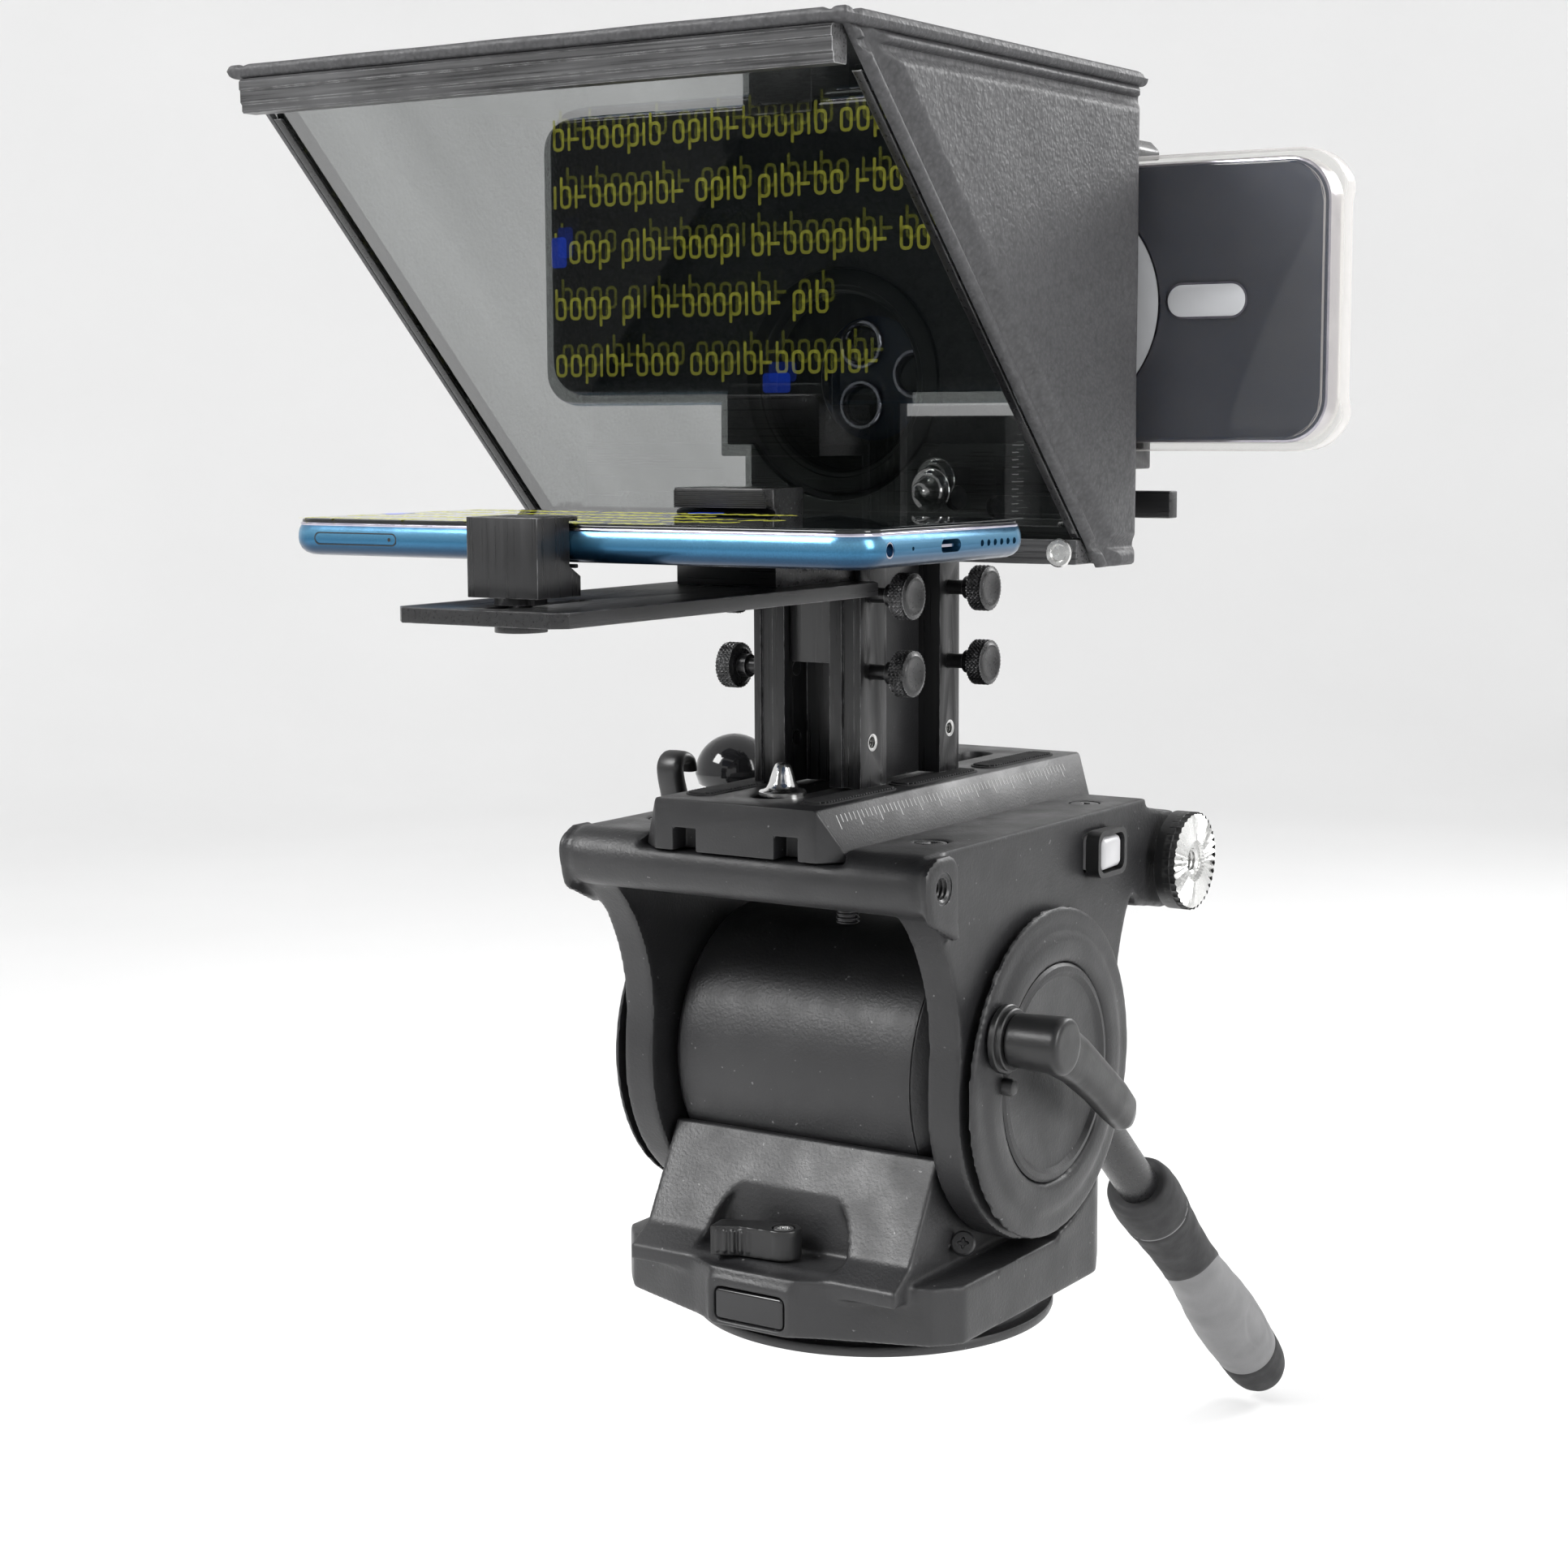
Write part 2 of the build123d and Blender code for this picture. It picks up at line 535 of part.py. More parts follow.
# ================= columns =================


def channel(y0, y1, opens):
    """An upright C-channel. opens is -1 for a front opening and 1 for a rear one."""
    with BuildSketch(Plane.XY.offset(column_low)) as section:
        with Locations((0, (y0 + y1) / 2)):
            Rectangle(2 * column_half, y1 - y0)
        depth = y1 - y0 - slot_floor
        middle = y0 + depth / 2 if opens < 0 else y1 - depth / 2
        with Locations((0, middle)):
            Rectangle(2 * slot_half, depth, mode=Mode.SUBTRACT)
        # A shallow groove down each open face.
        edge_y = y0 if opens < 0 else y1
        with Locations((-12.6, edge_y), (12.6, edge_y)):
            Rectangle(3.6, 1.6, mode=Mode.SUBTRACT)
    extrude(section.sketch, amount=column_high - column_low)


def side_holes(y, heights):
    """Cuts threaded side holes from both flanks into the slot."""
    for z in heights:
        for low, high in ((-column_half - 1, -slot_half + 0.5), (slot_half - 0.5, column_half + 1)):
            add(rod_x(low, high, y, z, screw_hole_r), mode=Mode.SUBTRACT)


spare_hole_z = 160.5
with BuildPart() as front_column:
    channel(front_y0, front_y1, -1)
    side_holes(screw_front_y, screw_heights + (spare_hole_z,))
finish(front_column, "front_column")

with BuildPart() as rear_column:
    channel(web_y1, rear_y1, 1)
    side_holes(screw_rear_y, screw_heights + (spare_hole_z,))
finish(rear_column, "rear_column")

with BuildPart() as column_web:
    add(block((-web_half, web_half), (front_y1, web_y1), (column_low, column_high)))
    with Locations((0, -6.5, column_low)):
        Cylinder(3.25, 40, mode=Mode.SUBTRACT)
finish(column_web, "column_web")

post_gap = 0.35
post_front, post_top = front_y0 + 2.5, 208.4
with BuildPart() as front_post:
    add(block((-post_half, post_half), (post_front, front_y1 - slot_floor - post_gap), (post_low, post_top)))
    add(block((-post_half, post_half), (tray_rear, post_front), (tray_low, post_top)))
finish(front_post, "front_post")

# The rear post is one piece with the bar that the camera clamp slides on.
with BuildPart() as rear_post:
    add(block((-post_half, post_half), (web_y1 + slot_floor + post_gap, rear_y1 - 0.4), (post_low, bar_z0)))
    add(block((-post_half, bar_x1), (bar_y0, bar_y1), (bar_z0, bar_z1)))
finish(rear_post, "rear_post")

# ---- thumb screws, one on each side at two heights on both columns ----
for name_y, y in (("front", screw_front_y), ("rear", screw_rear_y)):
    for name_z, z in (("low", screw_heights[0]), ("high", screw_heights[1])):
        for name_x, way in (("left", -1), ("right", 1)):
            with BuildPart() as thumb_screw:
                tip, neck = way * (post_half + 0.3), way * 24.2
                add(rod_x(min(tip, neck), max(tip, neck), y, z, screw_shank_r))
                face = way * (24.2 + screw_head_h)
                add(rod_x(min(neck, face), max(neck, face), y, z, screw_head_r))
                rim = thumb_screw.edges().filter_by(GeomType.CIRCLE).sort_by(Axis.X)
                chamfer(rim[-1] if way > 0 else rim[0], 0.7)
            finish(thumb_screw, f"thumb_screw_{name_y}_{name_z}_{name_x}")

# ================= tray, jaws and the display phone =================

with BuildPart() as tray_plate:
    with BuildSketch(Plane.XY.offset(tray_low)) as tray:
        with Locations((0, (tray_front + tray_rear) / 2)):
            Rectangle(2 * tray_half, tray_rear - tray_front)
        chamfer(tray.vertices(), 3)
        with Locations((0, -146)):
            SlotOverall(36, 6.2, rotation=90, mode=Mode.SUBTRACT)
    extrude(amount=tray_high - tray_low)
finish(tray_plate, "tray_plate")

with BuildPart() as front_jaw:
    with BuildSketch(side_plane(-jaw_half)):
        with BuildLine():
            Polyline((jaw_front, 205), (jaw_front, jaw_high), (jaw_back + 4, jaw_high),
                     (jaw_back, phone_high + 0.6), (jaw_back, phone_low - 0.6), (jaw_back + 4, 209.5),
                     (jaw_back + 4, 205), close=True)
        make_face()
    extrude(amount=2 * jaw_half)
    with Locations((0, -152.5, tray_high + body_gap)):
        Cylinder(6, 205 - tray_high - body_gap, align=(Align.CENTER, Align.CENTER, Align.MIN))
    with Locations((0, -152.5, tray_low - 2.4)):
        Cylinder(2.7, 9, align=(Align.CENTER, Align.CENTER, Align.MIN))
        Cylinder(6, 2.4 - body_gap, align=(Align.CENTER, Align.CENTER, Align.MIN))
finish(front_jaw, "front_jaw")

with BuildPart() as rear_jaw:
    with BuildSketch(side_plane(-rear_jaw_half)):
        with BuildLine():
            Polyline((-70.7, tray_high), (-70.7, phone_high + 0.4), (-73.5, phone_high + 1.5),
                     (-73.5, rear_jaw_high), (-58, rear_jaw_high), (-58, 207), (tray_rear, 207),
                     (tray_rear, tray_high), close=True)
        make_face()
    extrude(amount=2 * rear_jaw_half)
    chamfer(rear_jaw.edges().filter_by(Axis.Z).group_by(Axis.Y)[0], 2)
finish(rear_jaw, "rear_jaw")

with BuildPart() as display_phone:
    with BuildSketch(Plane.XY.offset(phone_low)):
        with Locations(((phone_x0 + phone_x1) / 2, (phone_y0 + phone_y1) / 2)):
            RectangleRounded(phone_x1 - phone_x0, phone_y1 - phone_y0, 9)
    extrude(amount=phone_high - 0.8 - phone_low)
    fillet(display_phone.faces().sort_by(Axis.Z)[0].edges(), 2.6)
    # Charging port in the right end.
    add(block((phone_x1 - 6, phone_x1 + 1), (-113.5, -104.5), (215.4, 218.4)), mode=Mode.SUBTRACT)
finish(display_phone, "display_phone")

with BuildPart() as display_screen:
    with BuildSketch(Plane.XY.offset(phone_high - 0.8)):
        with Locations(((phone_x0 + phone_x1) / 2, (phone_y0 + phone_y1) / 2)):
            RectangleRounded(phone_x1 - phone_x0 - 2, phone_y1 - phone_y0 - 2, 8)
    extrude(amount=0.8)
finish(display_screen, "display_screen")

# ================= hood, bracket and beam splitter =================

inner_half = hood_half - hood_wall
side_top = hood_top_z - hood_wall
with BuildPart() as hood_sides:
    for side_x in (inner_half, -hood_half):
        with BuildSketch(side_plane(side_x)):
            with BuildLine():
                Polyline((slope_sum - side_top, side_top), (hood_rear, side_top), (hood_rear, hood_low),
                         (slope_sum - hood_low, hood_low), close=True)
            make_face()
        extrude(amount=hood_wall)
finish(hood_sides, "hood_sides")

with BuildPart() as hood_top:
    add(block((-hood_half, hood_half), (hood_front, hood_rear), (side_top, hood_top_z)))
finish(hood_top, "hood_top")

aperture_plane = Plane((0, hood_rear + 10, aperture_z), x_dir=(1, 0, 0), z_dir=(0, -1, 0))
with BuildPart() as hood_rear_panel:
    add(block((-inner_half, inner_half), (hood_rear - hood_wall, hood_rear), (hood_low, side_top)))
    with BuildSketch(aperture_plane):
        Circle(aperture_r)
    extrude(amount=30, mode=Mode.SUBTRACT)
finish(hood_rear_panel, "hood_rear_panel")

ring_front = hood_rear - hood_wall
with BuildPart() as lens_ring:
    with BuildSketch(Plane((0, ring_front, aperture_z), x_dir=(1, 0, 0), z_dir=(0, -1, 0))):
        Circle(aperture_r + 4.5)
        Circle(aperture_r - 2, mode=Mode.SUBTRACT)
    extrude(amount=1.5)
    with BuildSketch(Plane((0, ring_front, aperture_z), x_dir=(1, 0, 0), z_dir=(0, -1, 0))):
        Circle(aperture_r)
        Circle(aperture_r - 2, mode=Mode.SUBTRACT)
    extrude(amount=-hood_wall - 0.6)
finish(lens_ring, "lens_ring")

foot_z0, foot_z1, upright_t, upright_top = 208.4, 211.0, 3.0, 238.0
with BuildPart() as hood_bracket:
    add(block((-20, 20), (-32.5, ring_front), (foot_z0, foot_z1)))
    add(block((-inner_half, inner_half), (ring_front - upright_t, ring_front), (foot_z0, upright_top)))
    with BuildSketch(aperture_plane):
        Circle(aperture_r + 6)
        # Two adjustment slots and a round relief on each side.
        with Locations((-58, -32), (58, -32)):
            SlotOverall(26, 5.5)
        with Locations((-36, -30), (36, -30)):
            Circle(3.2)
    extrude(amount=40, mode=Mode.SUBTRACT)
finish(hood_bracket, "hood_bracket")

bar_half = inner_half - 0.1
rail_inner = bar_half - 2.2
with BuildPart() as glass_frame:
    add(block((-bar_half, bar_half), (hood_front, -146), (316.5, side_top)))
    with BuildSketch(side_plane(-bar_half)):
        with BuildLine():
            Polyline((-41, 209), (-32.6, 209), (-38.6, 215), (-41, 215), close=True)
        make_face()
    extrude(amount=2 * bar_half)
    for side_x in (rail_inner, -bar_half):
        with BuildSketch(side_plane(side_x)):
            with BuildLine():
                low, high, front, back = 215.5, 316.0, glass_sum - 1.5, glass_sum - 0.1
                Polyline((front - low, low), (front - high, high), (back - high, high), (back - low, low),
                         close=True)
            make_face()
        extrude(amount=bar_half - rail_inner)
finish(glass_frame, "glass_frame")

glass_low, glass_high = 211.6, 322.4
step = glass_t * sin(radians(45))
with BuildPart() as beam_splitter:
    with BuildSketch(side_plane(-bar_half)):
        with BuildLine():
            Polyline((glass_sum - glass_low, glass_low), (glass_sum - glass_high, glass_high),
                     (glass_sum - glass_high + step, glass_high + step),
                     (glass_sum - glass_low + step, glass_low + step), close=True)
        make_face()
    extrude(amount=2 * bar_half)
finish(beam_splitter, "beam_splitter")

# ================= camera phone and its clamp =================

island_x, island_z, island_size = 6.0, 256.0, 37.0
middle_x, middle_z = (camera_x0 + camera_x1) / 2, (camera_z0 + camera_z1) / 2
camera_w, camera_h = camera_x1 - camera_x0, camera_z1 - camera_z0
case_back, case_front = -1.4, 8.6


def back_plane(y):
    """A plane at y seen from the front, centred on the camera phone, extruding towards -Y."""
    return Plane((middle_x, y, middle_z), x_dir=(1, 0, 0), z_dir=(0, -1, 0))


with BuildPart() as camera_phone:
    with BuildSketch(back_plane(camera_y1)):
        RectangleRounded(camera_w, camera_h, 11)
    extrude(amount=camera_y1 - camera_y0)
finish(camera_phone, "camera_phone")

with BuildPart() as camera_lenses:
    island = (island_x - middle_x, island_z - middle_z)
    with BuildSketch(back_plane(camera_y0)):
        with Locations(island):
            RectangleRounded(island_size, island_size, 9)
    extrude(amount=1.6)
    with BuildSketch(back_plane(camera_y0 - 1.6)):
        with Locations(*[(island[0] + x, island[1] + z) for x, z in ((-8, 8), (-8, -8), (8.5, 0))]):
            Circle(6.8)
    extrude(amount=1.8)
finish(camera_lenses, "camera_lenses")

with BuildPart() as clear_case:
    with BuildSketch(back_plane(case_front)):
        RectangleRounded(camera_w + 2 * case_wall, camera_h + 2 * case_wall, 13)
        with Locations((camera_w / 2 - 0.5, camera_h / 2 - 3), (camera_w / 2 - 0.5, 3 - camera_h / 2)):
            Circle(5)
    extrude(amount=case_front - case_back)
    with BuildSketch(back_plane(camera_y1)):
        RectangleRounded(camera_w, camera_h, 11)
    extrude(amount=camera_y1 - camera_y0, mode=Mode.SUBTRACT)
    with BuildSketch(back_plane(case_front + 1)):
        RectangleRounded(camera_w - 4, camera_h - 4, 9)
    extrude(amount=3, mode=Mode.SUBTRACT)
    with BuildSketch(back_plane(camera_y0 + 1)):
        with Locations(island):
            RectangleRounded(island_size + 2, island_size + 2, 10)
    extrude(amount=5, mode=Mode.SUBTRACT)
finish(clear_case, "clear_case")

jaw_lip, jaw_t = -4.2, 4.8
case_low, case_high = camera_z0 - case_wall, camera_z1 + case_wall
block_x0, block_x1, block_y1, block_z0 = 40.0, 64.0, 19.5, 214.0
with BuildPart() as clamp_slider:
    add(block((clamp_x0, clamp_x1), (case_front, clamp_y1), (case_low - jaw_t, 300)))
    add(block((clamp_x0, clamp_x1), (jaw_lip, clamp_y1), (case_low - jaw_t, case_low)))
    add(block((clamp_x0, clamp_x1), (jaw_lip, case_back), (case_low - jaw_t, case_low + 3)))
    chamfer(clamp_slider.edges().filter_by(Axis.Y).group_by(Axis.Z)[-1], 4)
    add(block((block_x0, block_x1), (case_front, block_y1), (block_z0, case_low - jaw_t + 1)))
    add(block((block_x0 - 1, block_x1 + 1), (bar_y0 - body_gap, bar_y1 + body_gap),
              (bar_z0 - body_gap, bar_z1 + body_gap)), mode=Mode.SUBTRACT)
finish(clamp_slider, "clamp_slider")

upper_x0, upper_x1 = clamp_x0 + 6, clamp_x1 - 6
upper_y0, upper_y1, upper_low = clamp_y1 + body_gap, clamp_y1 + 3.3, 262.0
lip_back = case_back - body_gap
with BuildPart() as upper_jaw:
    upper_high = case_high + jaw_t + body_gap
    add(block((upper_x0, upper_x1), (upper_y0, upper_y1), (upper_low, upper_high)))
    add(block((clamp_x0, clamp_x1), (jaw_lip, upper_y1), (case_high + body_gap, upper_high)))
    add(block((clamp_x0, clamp_x1), (jaw_lip, lip_back), (case_high - 3, upper_high)))
    chamfer(upper_jaw.edges().filter_by(Axis.Y).group_by(Axis.Z)[-1], 2.5)
finish(upper_jaw, "upper_jaw")
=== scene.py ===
import json
from math import atan2, cos, pi, radians, sin, sqrt, tan

import bmesh
import bpy
from mathutils import Matrix, Vector


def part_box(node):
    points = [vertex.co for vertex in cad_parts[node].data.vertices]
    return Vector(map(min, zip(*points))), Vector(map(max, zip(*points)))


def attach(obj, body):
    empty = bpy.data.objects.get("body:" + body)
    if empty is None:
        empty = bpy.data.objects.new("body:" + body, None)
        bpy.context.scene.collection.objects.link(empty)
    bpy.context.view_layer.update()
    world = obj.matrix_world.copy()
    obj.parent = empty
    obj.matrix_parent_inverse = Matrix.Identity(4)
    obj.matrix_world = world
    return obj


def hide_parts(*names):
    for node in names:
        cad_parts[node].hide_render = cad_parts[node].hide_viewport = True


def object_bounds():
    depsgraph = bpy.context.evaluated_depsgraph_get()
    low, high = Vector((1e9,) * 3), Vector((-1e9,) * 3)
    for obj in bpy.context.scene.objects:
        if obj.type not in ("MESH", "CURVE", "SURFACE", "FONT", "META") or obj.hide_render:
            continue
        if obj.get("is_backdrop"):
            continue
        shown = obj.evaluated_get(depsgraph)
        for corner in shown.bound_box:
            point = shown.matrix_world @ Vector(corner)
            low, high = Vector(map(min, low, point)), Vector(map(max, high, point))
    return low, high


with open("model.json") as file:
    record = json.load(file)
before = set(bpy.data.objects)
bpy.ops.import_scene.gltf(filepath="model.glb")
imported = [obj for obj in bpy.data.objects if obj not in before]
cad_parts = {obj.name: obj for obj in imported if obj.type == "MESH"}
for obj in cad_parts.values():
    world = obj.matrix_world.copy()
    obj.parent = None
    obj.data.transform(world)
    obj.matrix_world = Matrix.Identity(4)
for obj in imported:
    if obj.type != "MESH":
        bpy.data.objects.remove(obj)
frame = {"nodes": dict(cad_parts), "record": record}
cad_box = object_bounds()

MM = 0.001
NODES = frame["nodes"]
BODY_OF = {n: b for b, members in frame["record"]["behaviour"]["bodies"].items() for n in members}


def box_mm(node):
    """A CAD node's low and high corners in millimetres."""
    low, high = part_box(node)
    return low / MM, high / MM


# ================= materials =================

class Paint:
    """A node material built up layer by layer on one Principled shader."""

    def __init__(self, name, colour, roughness, **sockets):
        self.material = bpy.data.materials.new(name)
        self.material.use_nodes = True
        self.tree = self.material.node_tree
        self.shader = self.tree.nodes["Principled BSDF"]
        self.normal = None
        self.place = self.node("ShaderNodeTexCoord").outputs["Object"]
        self.set(self.shader, {"Base Color": colour, "Roughness": roughness,
                               **{key.replace("_", " "): value for key, value in sockets.items()}})

    def set(self, node, inputs):
        """Links or fills a node's inputs."""
        for key, value in inputs.items():
            socket = node.inputs[key]
            if isinstance(value, bpy.types.NodeSocket):
                self.tree.links.new(value, socket)
            elif isinstance(value, tuple) and socket.type == "RGBA":
                socket.default_value = (*value[:3], 1)
            else:
                socket.default_value = value

    def node(self, kind, inputs=None, **settings):
        made = self.tree.nodes.new(kind)
        for key, value in settings.items():
            setattr(made, key, value)
        self.set(made, inputs or {})
        return made

    def stretched(self, scale, turn=(0, 0, 0)):
        """Coordinates scaled by axis, for streaks."""
        return self.node("ShaderNodeMapping", {"Vector": self.place, "Scale": scale,
                                               "Rotation": turn}).outputs[0]

    def noise(self, scale, detail=2.0, vector=None, rough=0.5):
        return self.node("ShaderNodeTexNoise",
                         {"Vector": vector or self.place, "Scale": scale, "Detail": detail,
                                                "Roughness": rough}).outputs[0]

    def cells(self, scale, vector=None, feature="SMOOTH_F1"):
        return self.node("ShaderNodeTexVoronoi", {"Vector": vector or self.place, "Scale": scale},
                         feature=feature).outputs["Distance"]

    def remap(self, value, low, high, to_low=0.0, to_high=1.0):
        return self.node("ShaderNodeMapRange", {"Value": value, "From Min": low, "From Max": high,
                                                "To Min": to_low, "To Max": to_high}).outputs[0]

    def math(self, how, a, b=0.0):
        made = self.node("ShaderNodeMath", operation=how)
        self.set(made, {0: a, 1: b})
        return made.outputs[0]

    def mix(self, amount, a, b):
        made = self.node("ShaderNodeMix", data_type="RGBA")
        self.set(made, {0: amount, 6: a, 7: b})
        return made.outputs[2]

    def bump(self, height, distance, strength=1.0):
        """One more layer of fine relief."""
        made = self.node("ShaderNodeBump", {"Height": height, "Distance": distance, "Strength": strength})
        if self.normal is not None:
            self.set(made, {"Normal": self.normal})
        self.normal = made.outputs[0]
        self.set(self.shader, {"Normal": self.normal})

    def edges(self, radius, low=0.02, high=0.3):
        """A mask that is 1 along sharp edges, broken up by noise."""
        soft = self.node("ShaderNodeBevel", {"Radius": radius}, samples=4).outputs[0]
        flat = self.node("ShaderNodeNewGeometry").outputs["Normal"]
        dot = self.node("ShaderNodeVectorMath", {0: soft, 1: flat}, operation="DOT_PRODUCT").outputs["Value"]
        edge = self.remap(self.math("SUBTRACT", 1.0, dot), low, high)
        return self.math("MULTIPLY", edge, self.remap(self.noise(260, 4), 0.38, 0.6))

    def colour(self, value):
        self.set(self.shader, {"Base Color": value})

    def rough(self, value):
        self.set(self.shader, {"Roughness": value})


def powder_coat(name, low, high, grain=1150, relief=0.00014):
    """Textured satin paint on a casting, with a little dust."""
    paint = Paint(name, low, 0.45)
    tone = paint.mix(paint.remap(paint.noise(28, 3), 0.35, 0.65), low, high)
    worn = paint.math("MULTIPLY", paint.edges(0.0009, 0.03, 0.4), 0.35)
    tone = paint.mix(worn, tone, (0.16, 0.16, 0.165))
    dust = paint.remap(paint.noise(620, 1), 0.76, 0.80)
    paint.colour(paint.mix(paint.math("MULTIPLY", dust, 0.35), tone, (0.35, 0.35, 0.35)))
    paint.rough(paint.remap(paint.noise(90, 3), 0.3, 0.7, 0.36, 0.5))
    paint.bump(paint.noise(grain, 3, rough=0.6), relief, 0.75)
    paint.bump(paint.noise(grain / 4, 1), relief, 0.25)
    return paint.material


def anodised(name, along, low=(0.006, 0.006, 0.0065), high=(0.014, 0.014, 0.015), rough=(0.24, 0.4),
             wear=0.85):
    """Black anodised aluminium, brushed along one axis, with bright worn edges."""
    paint = Paint(name, low, 0.32)
    scale = {"X": (24, 1500, 1500), "Y": (1500, 24, 1500), "Z": (1500, 1500, 24)}[along]
    streak = paint.noise(1.0, 4, paint.stretched(scale))
    cloud = paint.noise(35, 3)
    tone = paint.mix(paint.remap(paint.math("ADD", streak, cloud), 0.7, 1.3), low, high)
    bare = paint.math("MULTIPLY", paint.edges(0.00045, 0.05, 0.35), wear)
    paint.colour(paint.mix(bare, tone, (0.6, 0.6, 0.61)))
    paint.set(paint.shader, {"Metallic": paint.math("MULTIPLY", bare, 0.9)})
    paint.rough(paint.remap(streak, 0.3, 0.7, *rough))
    paint.bump(streak, 0.00003, 0.35)
    paint.bump(paint.noise(900, 2), 0.00004, 0.3)
    return paint.material


def moulded(name, low, high, rough=(0.3, 0.45), grain=1500, relief=0.00005, edge=(0.2, 0.2, 0.2), wear=0.2):
    """Moulded plastic or rubber with a fine even texture."""
    paint = Paint(name, low, 0.4)
    tone = paint.mix(paint.remap(paint.noise(60, 3), 0.3, 0.7), low, high)
    paint.colour(paint.mix(paint.math("MULTIPLY", paint.edges(0.0006), wear), tone, edge))
    paint.rough(paint.remap(paint.noise(140, 3), 0.3, 0.7, *rough))
    paint.bump(paint.noise(grain, 3), relief, 0.6)
    return paint.material


def metal(name, low, high, rough=(0.16, 0.34), streaks=(600, 600, 600), bright=True):
    """Bare or plated metal with fine turning marks."""
    paint = Paint(name, low, 0.25, Metallic=1.0)
    line = paint.noise(1.0, 3, paint.stretched(streaks))
    tone = paint.mix(paint.remap(paint.noise(150, 3), 0.3, 0.7), low, high)
    if bright:
        tone = paint.mix(paint.edges(0.0003), tone, (0.85, 0.85, 0.84))
    paint.colour(tone)
    paint.rough(paint.remap(line, 0.3, 0.7, *rough))
    paint.bump(line, 0.00003, 0.3)
    return paint.material


def leather(name, low, high, pebble=1050, relief=0.00022):
    """Pebbled matt leathercloth."""
    paint = Paint(name, low, 0.55, Specular_IOR_Level=0.4)
    warp = paint.node("ShaderNodeTexNoise",
                      {"Vector": paint.place, "Scale": 420.0, "Detail": 2.0}).outputs["Color"]
    bent = paint.node("ShaderNodeVectorMath", {0: warp, 1: (0.0014, 0.0014, 0.0014)},
                      operation="MULTIPLY").outputs[0]
    place = paint.node("ShaderNodeVectorMath", {0: paint.place, 1: bent}, operation="ADD").outputs[0]
    grain = paint.cells(pebble, place)
    crease = paint.noise(380, 4, place)
    both = paint.math("ADD", paint.math("MULTIPLY", grain, -0.8), paint.math("MULTIPLY", crease, 0.9))
    tone = paint.mix(paint.remap(both, -0.25, 0.5), low, high)
    paint.colour(paint.mix(paint.remap(paint.noise(16, 3), 0.35, 0.75, 0.0, 0.35), tone, high))
    paint.rough(paint.remap(both, -0.2, 0.5, 0.62, 0.46))
    paint.bump(both, relief, 0.8)
    paint.bump(paint.noise(60, 2), 0.0006, 0.12)
    return paint.material


def velour(name, low, high):
    """Brushed black lining cloth."""
    paint = Paint(name, low, 0.85, Sheen_Weight=0.35, Sheen_Roughness=0.5)
    nap = paint.noise(1.0, 4, paint.stretched((300, 90, 90), (0.5, 0.0, 0.3)))
    paint.colour(paint.mix(paint.remap(nap, 0.35, 0.7), low, high))
    paint.bump(paint.noise(1800, 2), 0.0002, 0.7)
    paint.bump(nap, 0.0004, 0.3)
    return paint.material


def splitter(name, reflect=0.17):
    """The glass's coated face: part mirror and part clear, with faint streaks painted into how much it
    reflects, a painted reflection of a streaked backdrop.
    """
    paint = Paint(name, (0.9, 0.9, 0.9), 0.0)
    # Painted reflection: stretched noise varies the mirror share in streaks, standing in for a streaked
    # backdrop seen in the glass.
    streak = paint.noise(1.0, 5, paint.stretched((30, 5, 5), (0.6, 0.5, 0.9)))
    amount = paint.remap(streak, 0.3, 0.7, reflect * 0.86, reflect * 1.14)
    mirror = paint.node("ShaderNodeBsdfGlossy", {"Color": (0.96, 0.97, 0.97), "Roughness": 0.006})
    clear = paint.node("ShaderNodeBsdfTransparent", {"Color": (0.72, 0.74, 0.73)})
    both = paint.node("ShaderNodeMixShader", {0: amount, 1: clear.outputs[0], 2: mirror.outputs[0]})
    end = paint.tree.nodes["Material Output"]
    paint.set(end, {"Surface": both.outputs[0]})
    paint.tree.nodes.remove(paint.shader)
    return paint.material


def see_through(name, tint, body, low, high, rough=0.08):
    """Clear glass or plastic: nearly unseen face on, whiter where it turns away."""
    paint = Paint(name, body, rough)
    facing = paint.node("ShaderNodeLayerWeight", {"Blend": 0.5}).outputs["Facing"]
    haze = paint.remap(paint.noise(70, 3), 0.3, 0.7, 0.9, 1.1)
    amount = paint.math("MULTIPLY", paint.remap(facing, 0.25, 0.95, low, high), haze)
    clear = paint.node("ShaderNodeBsdfTransparent", {"Color": tint})
    both = paint.node("ShaderNodeMixShader", {0: amount, 1: clear.outputs[0], 2: paint.shader.outputs[0]})
    paint.set(paint.tree.nodes["Material Output"], {"Surface": both.outputs[0]})
    return paint.material


def glazed(name, low, high, rough=(0.03, 0.07), **sockets):
    """Polished glass or lacquer over a dark colour, with faint smears."""
    paint = Paint(name, low, 0.05, **sockets)
    smear = paint.noise(1.0, 4, paint.stretched((60, 18, 18), (0.3, 0.2, 0.7)))
    paint.colour(paint.mix(paint.remap(paint.noise(12, 2), 0.3, 0.7), low, high))
    paint.rough(paint.remap(smear, 0.35, 0.75, *rough))
    return paint.material


